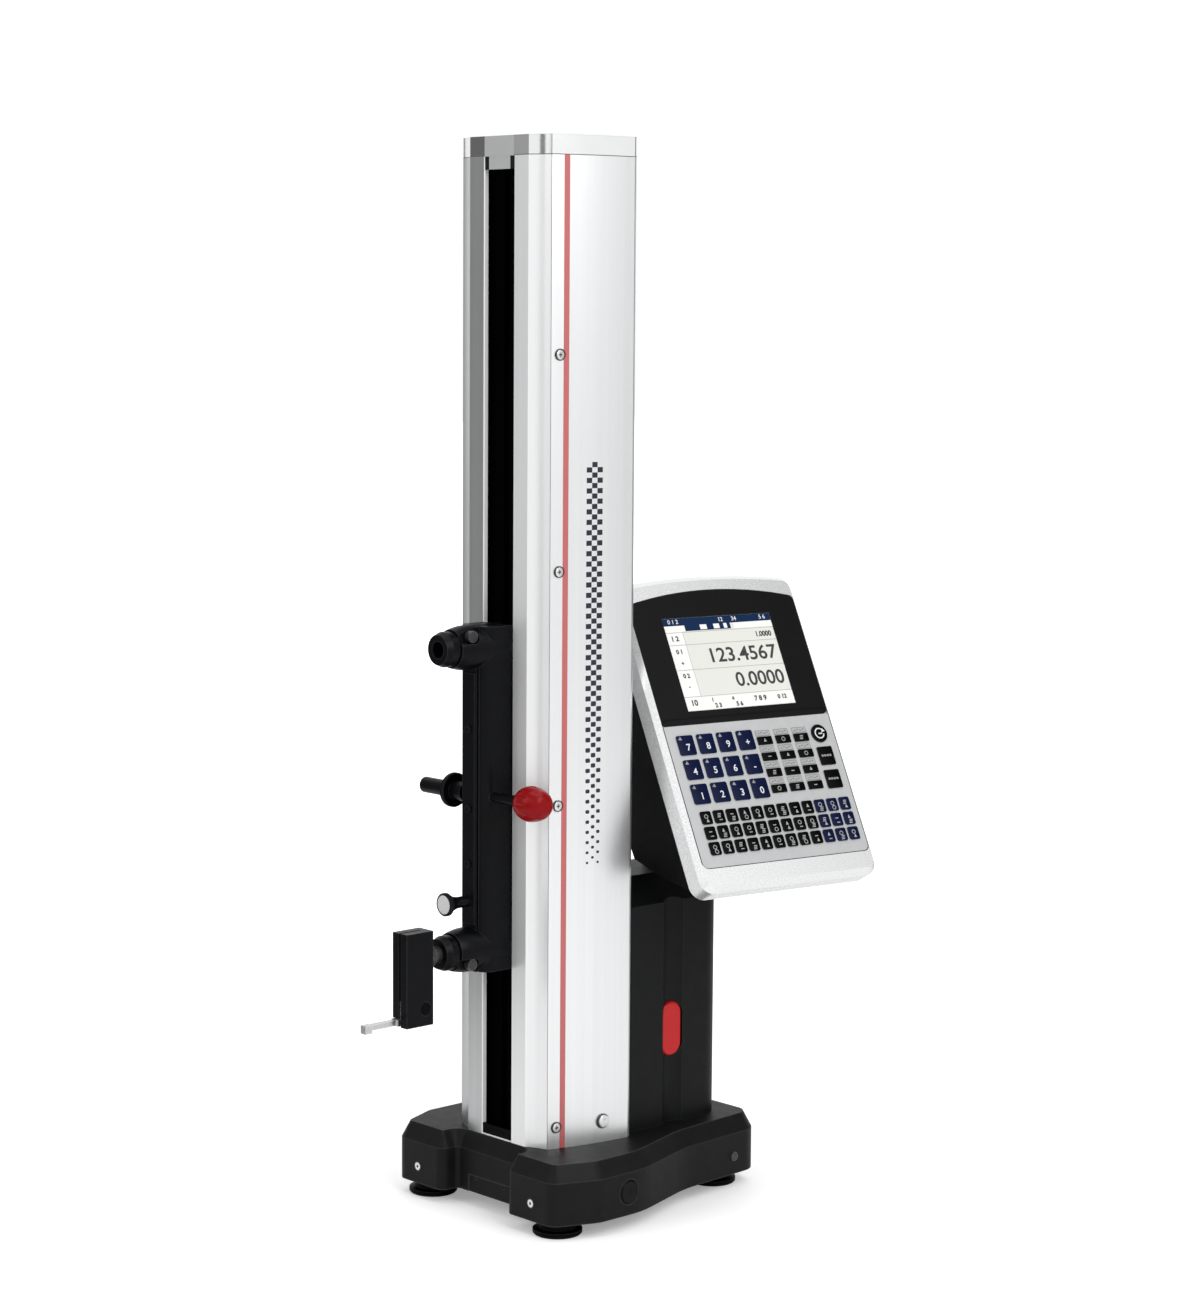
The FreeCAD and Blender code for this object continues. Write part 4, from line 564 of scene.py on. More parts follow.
# The left strip is the same metal painted darker: painted shade
dress(strip_finish("front_metal_left_shaded", (0.48, 0.485, 0.49), (0.60, 0.605, 0.61), 0.9, False),
      "front_strip_left")
dress(cap_finish(), "column_cap")
dress(sill_finish(), "slot_sill")
dress(steel, "pulley_axle", "upper_pulley", "drive_pulley", "carriage_bearings", "swivel_post",
      "stylus", "upper_bracket", "drive_bracket")
dress(dark_steel, "guide_rails", "linear_scale", "column_screws", "base_screws", "drive_motor", "air_pump",
      "counterweight", "probe_shaft")
dress(face_bright, "lock_knob_face")
dress(panel_silver, "display_frame")
dress(sheet_silver, "keypad_sheet")

# %% Red, glass and board
red_knob = finish_of("red_knob", (0.17, 0.001, 0.002), (0.29, 0.002, 0.004), 0.24, grain=700, bump=0.04,
                     edge=(0.42, 0.01, 0.01), edge_gain=3, hands=0.06, gloss=0.14)
red_button = finish_of("red_button", (0.46, 0.005, 0.006), (0.56, 0.008, 0.009), 0.30, grain=700, bump=0.04,
                       edge=(0.70, 0.05, 0.04), edge_gain=3, hands=0.12, gloss=0.3)
board_green = finish_of("board_green", (0.01, 0.08, 0.03), (0.02, 0.12, 0.05), 0.4, grain=300)
cell_blue = finish_of("cell_wrap", (0.03, 0.03, 0.05), (0.05, 0.05, 0.08), 0.3, grain=300)
scale_glass = finish_of("scale_glass", (0.55, 0.6, 0.6), (0.7, 0.75, 0.75), 0.1, metal=0.2, grain=200)
dress(red_knob, "drive_knob")
dress(red_button, "air_button")
dress(board_green, "circuit_board", "screen_module")
dress(cell_blue, "battery_pack")
dress(scale_glass, "screen_glass")

# %% [markdown]
# ## Column sides
#
# Each side cover is brushed metal with a red stripe along its front edge. The marked side also has a
# printed band of dark checks, three wide, which breaks up into small dots towards its lower end. Both are
# printed ink, so the mask changes the colour and takes away the metal.


# %% Band masks
STRIPE_FRONT = spot(0, 21.4, 0).y
STRIPE_BACK = spot(0, 26.9, 0).y
STRIPE_RED = (0.50, 0.125, 0.125)
CHECK_INK = (0.004, 0.007, 0.022)
CHECKS_WIDE = 3
CHECK_ACROSS = 0.00566
CHECK_UP = 0.004835
FADE_LENGTH = 0.200
DOT_SMALLEST = 0.2
DOT_GROWTH = 0.33
BAND_MIDDLE = spot(0, 53.8, 0).y
BAND_LOW = 70 * CHECK_UP
BAND_HIGH = 148 * CHECK_UP


def check_mask(tree, across, up):
    """Checks, three wide, that shrink towards the lower end of the band."""
    band_front = BAND_MIDDLE - CHECKS_WIDE / 2 * CHECK_ACROSS
    column = calc(tree, "DIVIDE", calc(tree, "SUBTRACT", across, band_front), CHECK_ACROSS)
    row = calc(tree, "DIVIDE", up, CHECK_UP)
    number = calc(tree, "ADD", calc(tree, "FLOOR", column), calc(tree, "FLOOR", row))
    odd = calc(tree, "LESS_THAN", calc(tree, "FLOORED_MODULO", number, 2.0), 0.5)
    height = calc(tree, "DIVIDE", calc(tree, "SUBTRACT", up, BAND_LOW), FADE_LENGTH, clamp=True)
    fade = calc(tree, "SQRT", height)
    reach = calc(tree, "ADD", calc(tree, "MULTIPLY", fade, DOT_GROWTH), DOT_SMALLEST)
    size_across = calc(tree, "ABSOLUTE", calc(tree, "SUBTRACT", calc(tree, "FRACT", column), 0.5))
    size_up = calc(tree, "ABSOLUTE", calc(tree, "SUBTRACT", calc(tree, "FRACT", row), 0.5))
    square = calc(tree, "MAXIMUM", size_across, size_up)
    round_part = calc(tree, "SQRT", calc(tree, "ADD", calc(tree, "MULTIPLY", size_across, size_across),
                                         calc(tree, "MULTIPLY", size_up, size_up)))
    blend = calc(tree, "MULTIPLY", calc(tree, "SUBTRACT", 1.0, fade), round_part)
    shape = calc(tree, "ADD", blend, calc(tree, "MULTIPLY", fade, square))
    dot_mask = calc(tree, "LESS_THAN", shape, reach)
    inside = calc(tree, "MULTIPLY", between(tree, column, 0.0, CHECKS_WIDE),
                  between(tree, up, BAND_LOW, BAND_HIGH))
    return calc(tree, "MULTIPLY", calc(tree, "MULTIPLY", odd, dot_mask), inside)


def side_finish(name, with_checks):
    """Brushed side cover with the printed stripe and, on the marked side, the checks."""
    material = finish_of(name, (0.76, 0.768, 0.775), (0.86, 0.865, 0.87), 0.30, metal=0.85,
                         brushed=(1400.0, 1400.0, 5.0), bump=0.12, hands=0.08)
    tree = material.node_tree
    _, across, up = axes(tree)
    repaint(material, between(tree, across, STRIPE_FRONT, STRIPE_BACK), STRIPE_RED)
    if with_checks:
        repaint(material, check_mask(tree, across, up), CHECK_INK)
    return material


dress(side_finish("side_marked", True), "side_cover_right")
dress(side_finish("side_plain", False), "side_cover_left", "rear_cover")

# %% [markdown]
# ## Screw heads
#
# The covers are held by small bright screws with a cross recess, with a larger one low on each side. The
# base has bright adjusting screws with a hexagon socket in front and dark ones at its sides. A head starts
# as a cylinder, its top edge is bevelled to a low dome, and the recess is cut with a boolean, as the real
# one is pressed in. One head of each kind is made, then copied to all its places.


# %% Screw heads
def screw_head(name, radius, height, recess):
    """A domed head, its top at the origin and facing along Z."""
    bpy.ops.object.select_all(action="DESELECT")
    bpy.ops.mesh.primitive_cylinder_add(vertices=40, radius=radius, depth=height,
                                        location=(0, 0, -height / 2))
    head = bpy.context.object
    head.name = name
    pick_faces(head, lambda middle, normal: normal.z > 0.9)
    bpy.ops.mesh.region_to_loop()
    bpy.ops.mesh.bevel(offset=height * 0.45, segments=4)
    bpy.ops.object.mode_set(mode="OBJECT")
    settle(head, Matrix.Identity(4))
    if recess == "cross":
        bars = []
        for turn in (0.0, math.pi / 2):
            bpy.ops.mesh.primitive_cube_add(size=1)
            bar = sized(bpy.context.object, radius * 1.25, radius * 0.30, height)
            pick_faces(bar, lambda middle, normal: normal.z < -0.9)
            bpy.ops.transform.resize(value=(0.4, 0.7, 1))
            bpy.ops.object.mode_set(mode="OBJECT")
            bars.append(settle(bar, Matrix.Rotation(turn, 4, "Z")))
        for bar in bars:
            apply_modifier(head, "BOOLEAN", object=bar, operation="DIFFERENCE", solver="EXACT")
            bpy.data.objects.remove(bar)
    else:
        bpy.ops.mesh.primitive_cylinder_add(vertices=6, radius=radius * 0.38, depth=height * 1.3)
        socket = bpy.context.object
        settle(socket, Matrix.Identity(4))
        apply_modifier(head, "BOOLEAN", object=socket, operation="DIFFERENCE", solver="EXACT")
        bpy.data.objects.remove(socket)
    only(head)
    bpy.ops.object.shade_smooth_by_angle(angle=math.radians(30))
    return head


bright_screw = finish_of("bright_screw", (0.74, 0.74, 0.74), (0.84, 0.84, 0.84), 0.24, metal=0.6, grain=900,
                         bump=0.04, edge=(0.92, 0.92, 0.92))

# %% Sets of screw heads
# Name, radius, height, recess, finish, places on the right half, way they face across and back
head_sets = [
    ("cover_screw_heads", 0.0049, 0.0024, "cross", bright_screw,
     [(65.8, 18, height) for height in (91, 397, 615, 814)], (1, 0)),
    ("base_screw_heads", 0.0043, 0.0024, "hexagon", bright_screw, [(82, -29.6, 31.2)], (0, -1)),
    ("base_side_heads", 0.0043, 0.0024, "hexagon", dark_steel, [(100.6, 222, 32.2)], (1, 0)),
    ("fixing_screw_heads", 0.0062, 0.0016, "cross", bright_screw, [(79.3, 67, 91)], (1, 0)),
]
for name, radius, height, recess, paint, where, (aside, forward) in head_sets:
    places = [towards(spot(sign * x, y, z), (sign * aside, forward, 0))
              for x, y, z in where for sign in (1, -1)]
    heads = copies(screw_head(name + "_one", radius, height, recess), places, name)
    heads.data.materials.append(paint)
    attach(heads, "stand")

# %% [markdown]
# ## The picture on the screen
#
# The screen shows a blue title bar, a row of tabs, a narrow label column, two large readings and a pale
# strip of small numbers at its foot. The flat parts are rectangles in one material, drawn by a small group
# that tests the piece's own UV map. The readings are text, made a mesh and laid just over the picture,
# because digits are shapes and stay sharp.


# %% Rectangle group
box_group, entry, leave = new_group(
    "Picture box", [("Left", 0.0), ("Right", 1.0), ("Low", 0.0), ("High", 1.0)], ["Mask"])
place = box_group.nodes.new("ShaderNodeTexCoord")
split = box_group.nodes.new("ShaderNodeSeparateXYZ")
wire(box_group, place.outputs["UV"], split.inputs[0])
tests = []
for axis, low, high in (("X", "Left", "Right"), ("Y", "Low", "High")):
    tests.append(calc(box_group, "GREATER_THAN", split.outputs[axis], entry.outputs[low]))
    tests.append(calc(box_group, "LESS_THAN", split.outputs[axis], entry.outputs[high]))
inside = calc(box_group, "MULTIPLY", calc(box_group, "MULTIPLY", tests[0], tests[1]),
              calc(box_group, "MULTIPLY", tests[2], tests[3]))
wire(box_group, inside, leave.inputs["Mask"])

# %% Screen picture
SCREEN_WIDE = 127.4
SCREEN_TALL = 95.4
PICTURE_OUT = -0.00115
INK_LIFT = 0.00004

picture = rectangle("screen_picture", SCREEN_WIDE / 1000, SCREEN_TALL / 1000)
settle(picture, PANEL @ Matrix.Translation((0, 0, PICTURE_OUT)))

PALE = (0.66, 0.665, 0.62)
WHITE = (0.78, 0.78, 0.76)
BLUE = (0.002, 0.017, 0.062)
LINE = (0.40, 0.41, 0.38)

# Colour, then left, right, low and high in millimetres from the screen's middle
picture_boxes = [
    (BLUE, -64, 64, 40, 48), (WHITE, -64, -40, 34, 40), (BLUE, -40, 14, 34, 40), (WHITE, -22, -14, 35, 40),
    (WHITE, -6, 1, 35, 40), (WHITE, 6, 10, 35, 40), (WHITE, 18, 64, 34, 40), (WHITE, -64, -44, -34, 34),
    (LINE, -44.4, -43.8, -34, 33), (LINE, -64, 64, 32.6, 33.3), (LINE, -64, 64, 19.6, 20.3),
    (LINE, -64, 64, -6.3, -5.6), (LINE, -64, 64, -33.9, -33.2), (WHITE, -64, 64, -48, -34)]
picture_glow, tree, shader = blank("screen_glow")
colour = None
for shade, left, right, low, high in picture_boxes:
    box = use_group(tree, box_group, Left=left / SCREEN_WIDE + 0.5, Right=right / SCREEN_WIDE + 0.5,
                    Low=low / SCREEN_TALL + 0.5, High=high / SCREEN_TALL + 0.5)
    colour = mix_colour(tree, box.outputs["Mask"], colour or PALE, shade)
wire(tree, colour, shader.inputs["Base Color"])
wire(tree, colour, shader.inputs["Emission Color"])
shader.inputs["Emission Strength"].default_value = 0.08
shader.inputs["Roughness"].default_value = 0.3
shader.inputs["Specular IOR Level"].default_value = 0.15
picture.data.materials.append(picture_glow)
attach(picture, "display_head")
print("picture boxes", len(picture_boxes))


# %% Digits
def plain_ink(name, colour, rough=0.4):
    """Printed ink that drifts a little towards a lighter tone."""
    return finish_of(name, colour, tuple(min(1, c * 1.25 + 0.004) for c in colour), rough, grain=1200,
                     bump=0.02, hands=0.1)


screen_ink = plain_ink("screen_ink", (0.02, 0.021, 0.022))
print_white = plain_ink("print_white", (0.60, 0.605, 0.61))
print_grey = plain_ink("print_grey", (0.30, 0.305, 0.31))


def lettering(words, size, across, up, height_out, ink, narrow=1.0, bold=0.0, align="CENTER"):
    """Words on the panel; size is the height of the letters' body in millimetres."""
    bpy.ops.object.select_all(action="DESELECT")
    bpy.ops.object.text_add()
    text = bpy.context.object
    text.data.body = words
    text.data.size = size / 1000
    text.data.align_x = align
    text.data.align_y = "CENTER"
    text.data.offset = bold / 1000
    text.data.resolution_u = 4
    bpy.ops.object.convert(target="MESH")
    piece = bpy.context.object
    piece.data.materials.append(ink)
    squeeze = Matrix.Diagonal((narrow, 1, 1, 1))
    return settle(piece, PANEL @ Matrix.Translation((across / 1000, up / 1000, height_out)) @ squeeze)


READING_OUT = PICTURE_OUT + INK_LIFT
readings = [
    lettering("123.4567", 20.5, 59, 6.6, READING_OUT, screen_ink, narrow=1.08, bold=0.32, align="RIGHT"),
    lettering("0.0000", 20.5, 59.5, -19.8, READING_OUT, screen_ink, narrow=1.04, bold=0.32, align="RIGHT"),
    lettering("1.0000", 7.5, 59.5, 26.2, READING_OUT, screen_ink, narrow=0.95, bold=0.3, align="RIGHT"),
]

# Words, place across, place up, size
small_words = [("1 2", -55, 26.5, 7), ("0 1", -54, 13, 6), ("+", -54, 1, 5), ("0 2", -54, -12, 6),
               ("-", -54, -23, 5), ("10", -54, -40, 8), ("1", -32, -38, 5), ("2 3", -27, -44, 6),
               ("4", -8, -38, 5), ("5 6", -2, -44, 6), ("7 8 9", 24, -40, 7), ("0 12", 50, -40, 6)]
for words, across, up, size in small_words:
    readings.append(lettering(words, size, across, up, READING_OUT, screen_ink, bold=0.3))
piece = joined(readings, "screen_digits")
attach(piece, "display_head")
titles = [lettering(words, 6, across, 44, READING_OUT, print_white, bold=0.12)
          for words, across in (("0 1 2", -52), ("12", 4), ("34", 20), ("5 6", 54))]
piece = joined(titles, "screen_title_digits")
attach(piece, "display_head")
print("digits on the screen", len(readings) + len(titles))

# %% [markdown]
# ## Key caps
#
# The keypad is one sheet with raised pads. Each pad has a printed cap: blue for numbers, black for the
# others, with rounded corners. A cap starts as a cube at its size, its upright edges are bevelled wide and
# its top edge a little, and it is copied to every pad of its kind.


# %% Key caps
CAP_THICK = 0.0009


def key_cap(name, wide, tall, corner):
    """A flat cap with rounded corners; sizes in millimetres."""
    bpy.ops.object.select_all(action="DESELECT")
    bpy.ops.mesh.primitive_cube_add(size=1)
    cap = sized(bpy.context.object, wide / 1000, tall / 1000, CAP_THICK)
    cap.name = name
    for edge in cap.data.edges:
        a, b = (cap.data.vertices[v].co for v in edge.vertices)
        edge.select = abs(a.z - b.z) > 0.0005
    for face in cap.data.polygons:
        face.select = False
    bpy.ops.object.mode_set(mode="EDIT")
    bpy.ops.mesh.select_mode(type="EDGE")
    bpy.ops.mesh.bevel(offset=corner / 1000, segments=4)
    bpy.ops.object.mode_set(mode="OBJECT")
    apply_modifier(cap, "BEVEL", width=0.00025, segments=2, limit_method="ANGLE",
                   angle_limit=math.radians(60))
    only(cap)
    bpy.ops.object.shade_smooth_by_angle(angle=math.radians(40))
    return cap


def on_panel(across, up, height_out=0.0):
    """Matrix for a place on the panel, in millimetres from the screen's middle and metres out of the face."""
    return PANEL @ Matrix.Translation((across / 1000, up / 1000, height_out))


def key_grid(left, top, step_across, step_down, columns, rows):
    """Middles of a block of keys, row by row from its upper left one."""
    return [(left + step_across * column, top - step_down * row)
            for row in range(rows) for column in range(columns)]


LETTER_COLUMNS = 12
BLACK_COLUMNS = 9
LABEL_UP = 7.9
LABEL_SUNK = 0.00095
ROUND_KEY = (79.6, -81.7)
number_places = key_grid(-77.9, -81.8, 23.1, 24.6, 4, 3)
letter_places = key_grid(-79.2, -154.8, 14.9, 15.3, LETTER_COLUMNS, 3)
function_places = key_grid(13.4, -84, 21.8, 16.4, 3, 4)
command_places = [(80.2, -105), (80.2, -129)]
black_letters = [p for i, p in enumerate(letter_places) if i % LETTER_COLUMNS < BLACK_COLUMNS]
blue_letters = [p for i, p in enumerate(letter_places) if i % LETTER_COLUMNS >= BLACK_COLUMNS]
key_blue = finish_of("key_blue", (0.0015, 0.0045, 0.028), (0.0022, 0.0065, 0.038), 0.34, grain=1800,
                     bump=0.05, edge=(0.01, 0.02, 0.09), edge_gain=3, hands=0.2, gloss=0.08)
key_black = finish_of("key_black", (0.0006, 0.0006, 0.0006), (0.0014, 0.0014, 0.0014), 0.34, grain=1800,
                      bump=0.05, edge=(0.02, 0.02, 0.02), edge_gain=3, hands=0.2, gloss=0.05)
label_rim = finish_of("label_rim", (0.20, 0.20, 0.20), (0.24, 0.24, 0.24), 0.4, grain=1800, bump=0.03,
                      hands=0.15, gloss=0.2)
label_grey = finish_of("label_grey", (0.36, 0.362, 0.365), (0.40, 0.402, 0.405), 0.4, grain=1800, bump=0.03,
                       hands=0.15, gloss=0.2)

# Name, width, height, places, finish, corner
caps = [
    ("number_caps", 19, 20, number_places, key_blue, 1.8),
    ("letter_caps", 12.4, 13, black_letters, key_black, 1.8),
    ("command_letter_caps", 12.4, 13, blue_letters, key_blue, 1.8),
    ("function_caps", 17.4, 8.4, function_places, key_black, 0.8),
    ("command_caps", 18, 19, command_places, key_black, 1.4),
]
for name, wide, tall, places, paint, corner in caps:
    piece = copies(key_cap(name + "_one", wide, tall, corner), [on_panel(*p) for p in places], name)
    piece.data.materials.append(paint)
    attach(piece, "display_head")
label = key_cap("label_one", 17.4, 6.0, 0.8)
pick_faces(label, lambda middle, normal: normal.z > 0.99 and abs(middle.x) < 0.002)
bpy.ops.mesh.inset(thickness=0.00045)
bpy.ops.object.mode_set(mode="OBJECT")
label.data.materials.append(label_rim)
label.data.materials.append(label_grey)
for face in label.data.polygons:
    face.material_index = 1 if face.select else 0
labels = copies(label, [on_panel(across, up + LABEL_UP, -LABEL_SUNK) for across, up in function_places],
                "function_labels")
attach(labels, "display_head")

# %% [markdown]
# The key sheet lies a little below the frame's lip, and a thin dark ring in the gap round it is painted
# shadow. It is a plane with rounded corners, inset and emptied, so that only its rim is left; its top end
# lies over the black bezel.

# %% Painted shadow in the gap round the sheet
gap_shadow_line = rectangle("sheet_gap_shadow", 0.1966, 0.1496)
bpy.ops.object.mode_set(mode="EDIT")
bpy.ops.mesh.select_all(action="SELECT")
bpy.ops.mesh.bevel(offset=0.0068, segments=6, affect="VERTICES")
rim_only(0.0007)
bpy.ops.object.mode_set(mode="OBJECT")
settle(gap_shadow_line, on_panel(0, -129.5, -0.00065))
gap_shadow_line.data.materials.append(foot_black)
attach(gap_shadow_line, "display_head")

# %% Round key
bpy.ops.object.select_all(action="DESELECT")
bpy.ops.mesh.primitive_cylinder_add(vertices=48, radius=0.0092, depth=CAP_THICK)
round_cap = bpy.context.object
round_cap.name = "round_cap"
pick_faces(round_cap, lambda middle, normal: normal.z > 0.9)
bpy.ops.mesh.inset(thickness=0.0008)
bpy.ops.transform.translate(value=(0, 0, 0.0002))
bpy.ops.object.mode_set(mode="OBJECT")
bpy.ops.object.shade_smooth_by_angle(angle=math.radians(40))
settle(round_cap, on_panel(*ROUND_KEY))
round_cap.data.materials.append(key_black)
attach(round_cap, "display_head")

# %% [markdown]
# ## Marks on the keys
#
# Number keys carry plain digits and signs with a small pale tag at the upper left. The rest carry simple
# marks: rings, bars and ticks, each a flat shape made once and copied.

# %% Digits on the keys
MARK_OUT = 0.00047
digit_pieces = []
for (across, up), words in zip(number_places, "789+456-1230"):
    digit_pieces.append(lettering(words, 9.5, across + 1.5, up - 2.5, MARK_OUT, print_white, bold=0.14))
digits = joined(digit_pieces, "key_digits")
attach(digits, "display_head")


def flat_mark(name, kind):
    """A flat mark about four millimetres across, in the plane of the panel."""
    bpy.ops.object.select_all(action="DESELECT")
    if kind == "ring":
        bpy.ops.mesh.primitive_circle_add(vertices=24, radius=0.0022, fill_type="NGON")
        mark = bpy.context.object
        bpy.ops.object.mode_set(mode="EDIT")
        rim_only(0.0007)
    elif kind == "tick":
        bpy.ops.mesh.primitive_circle_add(vertices=3, radius=0.0024, fill_type="NGON")
        mark = bpy.context.object
        bpy.ops.object.mode_set(mode="EDIT")
        bpy.ops.mesh.select_all(action="SELECT")
        bpy.ops.transform.resize(value=(0.8, 1, 1))
    else:
        bpy.ops.mesh.primitive_plane_add(size=0.004)
        mark = bpy.context.object
        bpy.ops.object.mode_set(mode="EDIT")
        bpy.ops.mesh.select_mode(type="FACE")
        bpy.ops.mesh.select_all(action="SELECT")
        bpy.ops.transform.resize(value=(0.9, 0.22, 1))
        if kind == "bars":
            bpy.ops.mesh.duplicate_move(TRANSFORM_OT_translate={"value": (0.0004, 0.0016, 0)})
            bpy.ops.mesh.duplicate_move(TRANSFORM_OT_translate={"value": (-0.0008, -0.0032, 0)})
    bpy.ops.object.mode_set(mode="OBJECT")
    mark.name = name
    return mark


mark_spots = {"ring": [], "tick": [], "bar": [], "bars": []}
kinds = list(mark_spots)
for index, (across, up) in enumerate(letter_places):
    mark_spots[kinds[(index * 7 + index // 5) % 4]].append((across, up + 1.2))
    mark_spots[kinds[(index * 5 + 1 + index // 7) % 4]].append((across + 0.8, up - 3.2))
for index, (across, up) in enumerate(function_places):
    mark_spots[kinds[(index * 3 + 1) % 4]].append((across, up))
for across, up in number_places:
    mark_spots["bar"].append((across - 5.6, up + 6.4))
    mark_spots["tick"].append((across - 5.2, up + 6.6))
for kind, spots in mark_spots.items():
    piece = copies(flat_mark(kind + "_one", kind), [on_panel(*s, MARK_OUT) for s in spots], kind + "_marks")
    piece.data.materials.append(print_grey)
    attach(piece, "display_head")

# %% Marks on the labels and the large keys
dark_ink = plain_ink("dark_ink", (0.07, 0.07, 0.07))
grey_ink = plain_ink("grey_ink", (0.22, 0.22, 0.22))


def thin_bar(name, wide, tall):
    """A flat bar in the plane of the panel, its corners cut a little."""
    bar = rectangle(name, wide / 1000, tall / 1000)
    bpy.ops.object.mode_set(mode="EDIT")
    bpy.ops.mesh.select_all(action="SELECT")
    bpy.ops.mesh.bevel(offset=tall / 4000, segments=1, affect="VERTICES")
    bpy.ops.object.mode_set(mode="OBJECT")
    return bar


label_spots = []
for across, up in function_places:
    for step, word in enumerate((-4.8, -1.6, 1.8, 5.0)):
        wave = 0.5 if step % 2 else -0.4
        label_spots.append(on_panel(across + word, up + LABEL_UP + wave, MARK_OUT - LABEL_SUNK))
piece = copies(thin_bar("label_bar", 2.2, 0.8), label_spots, "label_marks")
piece.data.materials.append(dark_ink)
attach(piece, "display_head")
big_spots = [on_panel(across + step, up + 0.2, MARK_OUT) for across, up in command_places
             for step in (-4.8, -1.8, 1.4, 4.6)]
piece = copies(thin_bar("large_key_bar", 2.7, 2.2), big_spots, "large_key_marks")
piece.data.materials.append(grey_ink)
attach(piece, "display_head")

# %% Arrow on the round key
ROUND_MARK_OUT = 0.00068
bpy.ops.object.select_all(action="DESELECT")
bpy.ops.mesh.primitive_circle_add(vertices=48, radius=0.0056, fill_type="NGON")
arrow = bpy.context.object
arrow.name = "round_arrow"
bpy.ops.object.mode_set(mode="EDIT")
rim_only(0.0013)
pick_faces(arrow, lambda middle, normal: abs(math.atan2(middle.y, middle.x) - 0.25) < 0.42)
bpy.ops.mesh.delete(type="FACE")
bpy.ops.object.mode_set(mode="OBJECT")
settle(arrow, on_panel(*ROUND_KEY, ROUND_MARK_OUT))
bpy.ops.mesh.primitive_circle_add(vertices=3, radius=0.0026, fill_type="NGON")
tip = bpy.context.object
settle(tip, on_panel(84.2, -79.2, ROUND_MARK_OUT) @ Matrix.Rotation(math.radians(130), 4, "Z"))
bar = rectangle("round_bar", 0.0044, 0.0013)
settle(bar, on_panel(80.6, -82.0, ROUND_MARK_OUT))
piece = joined([arrow, tip, bar], "round_key_mark")
piece.data.materials.append(print_white)
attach(piece, "display_head")
print("marks done")

# %% [markdown]
# ## Camera, floor and light
#
# The camera stands where the photograph's did: about two metres eighty off and above the slider, looking a
# little down. The light is a big soft box at the right, a weaker one in front, one overhead and a pale
# room. Three cards are seen only in reflections: they give the front, the fluted corner and the rear of the
# side their tones.

# %% Camera
# The camera fitted to the photograph: lengths in pixels, place in the column's millimetres
SENSOR = 36
PHOTO_TALL_PIXELS = 1315
FOCAL_PIXELS = 3036.14
CAMERA_PLACE = spot(2128.2, -1850.8, 858.9)
CAMERA_AIM = Vector((-0.72736, 0.67652, -0.11517))
CAMERA_ROLL = math.radians(0.39)

camera_data = bpy.data.cameras.new("camera")
camera = bpy.data.objects.new("camera", camera_data)
bpy.context.scene.collection.objects.link(camera)
bpy.context.scene.camera = camera
camera_data.sensor_width = SENSOR
camera_data.lens = SENSOR * FOCAL_PIXELS / PHOTO_TALL_PIXELS
camera.location = CAMERA_PLACE
camera.rotation_mode = "QUATERNION"
camera.rotation_quaternion = CAMERA_AIM.to_track_quat("-Z", "Y") @ Quaternion((0, 0, 1), CAMERA_ROLL)
camera_data.clip_start = 0.05
camera_data.clip_end = 60
print("lens", round(camera_data.lens, 2))

# %% Floor
# The camera sees the floor glow a little near the gauge and more further off, so that it fades to white
GLOW_START = 0.5
GLOW_REACH = 1.6
GLOW_NEAR = 0.28
GLOW_RISE = 0.7

bpy.ops.object.select_all(action="DESELECT")
bpy.ops.mesh.primitive_plane_add(size=30, location=(0, 0, 0))
floor = bpy.context.object
floor.name = "floor"
floor_paint, tree, shader = blank("floor_paint")
shader.inputs["Base Color"].default_value = (0.92, 0.92, 0.92, 1)
shader.inputs["Roughness"].default_value = 0.6
ray = tree.nodes.new("ShaderNodeLightPath")
place = tree.nodes.new("ShaderNodeTexCoord")
reach = tree.nodes.new("ShaderNodeVectorMath")
reach.operation = "LENGTH"
wire(tree, place.outputs["Object"], reach.inputs[0])
beyond = calc(tree, "SUBTRACT", reach.outputs["Value"], GLOW_START)
far = calc(tree, "DIVIDE", beyond, GLOW_REACH, clamp=True)
lift = calc(tree, "ADD", calc(tree, "MULTIPLY", far, GLOW_RISE), GLOW_NEAR)
wire(tree, calc(tree, "MULTIPLY", ray.outputs["Is Camera Ray"], lift), shader.inputs["Emission Strength"])
shader.inputs["Emission Color"].default_value = (1, 1, 1, 1)
floor.data.materials.append(floor_paint)


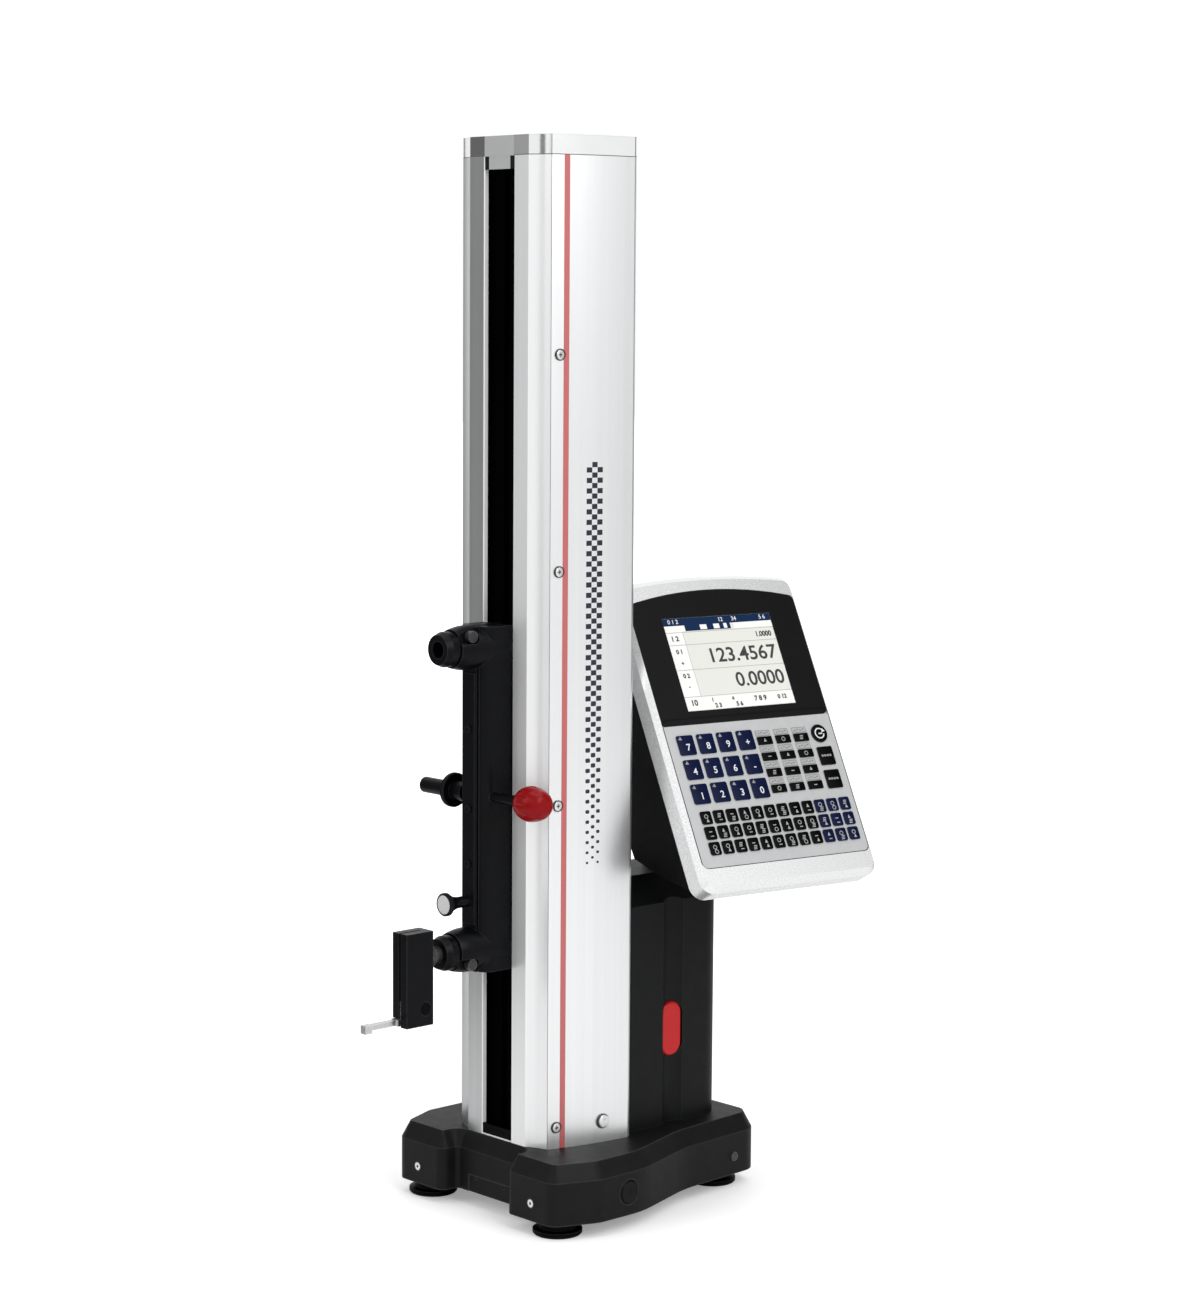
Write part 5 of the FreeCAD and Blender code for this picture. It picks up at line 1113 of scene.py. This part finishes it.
# %% Lamps and room
def soft_box(name, place, target, width, height, power):
    """A rectangular area lamp aimed at a point."""
    lamp = bpy.data.lights.new(name, "AREA")
    lamp.shape = "RECTANGLE"
    lamp.size = width
    lamp.size_y = height
    lamp.energy = power
    holder = bpy.data.objects.new(name, lamp)
    bpy.context.scene.collection.objects.link(holder)
    holder.location = place
    holder.rotation_mode = "QUATERNION"
    holder.rotation_quaternion = (Vector(target) - Vector(place)).to_track_quat("-Z", "Y")


soft_box("key_box", (2.6, -0.2, 2.4), (0, 0, 0.5), 1.8, 2.2, 45)
soft_box("front_box", (-0.6, -3.0, 2.2), (0, 0, 0.5), 1.6, 1.6, 22)
soft_box("top_box", (0, 0.4, 3.4), (0, 0, 0.4), 2.5, 2.5, 30)

world = bpy.data.worlds.new("room")
bpy.context.scene.world = world
world.use_nodes = True
tree = world.node_tree
room = tree.nodes["Background"]
ray = tree.nodes.new("ShaderNodeLightPath")
seen = calc(tree, "MAXIMUM", ray.outputs["Is Camera Ray"], ray.outputs["Is Glossy Ray"])
seen = calc(tree, "MAXIMUM", seen, ray.outputs["Is Transmission Ray"])
wire(tree, calc(tree, "ADD", calc(tree, "MULTIPLY", seen, 0.4), 0.6), room.inputs["Strength"])
room.inputs["Color"].default_value = (1, 1, 1, 1)


def reflection_card(name, azimuth, distance, width, height, glow):
    """An upright card round the column, seen only in reflections."""
    turn = math.radians(azimuth)
    place = Vector((CENTRE_X + distance * math.cos(turn), distance * math.sin(turn), height / 2))
    card = rectangle(name, width, height)
    inward = Vector((-math.cos(turn), -math.sin(turn), 0))
    settle(card, Matrix.Translation(place) @ inward.to_track_quat("Z", "Y").to_matrix().to_4x4())
    paint, tree, shader = blank(name + "_paint")
    shader.inputs["Base Color"].default_value = (0, 0, 0, 1)
    shader.inputs["Specular IOR Level"].default_value = 0
    shader.inputs["Emission Color"].default_value = (1, 1, 1, 1)
    shader.inputs["Emission Strength"].default_value = glow
    card.data.materials.append(paint)
    card.visible_camera = False
    card.visible_diffuse = False
    card.visible_shadow = False


reflection_card("grey_card", -137, 0.9, 0.75, 2.4, 0.26)
reflection_card("flute_card", -92, 1.3, 0.34, 2.6, 0.06)
reflection_card("rear_card", 66, 1.6, 1.5, 2.6, 0.12)
bpy.context.scene.view_settings.view_transform = "Standard"
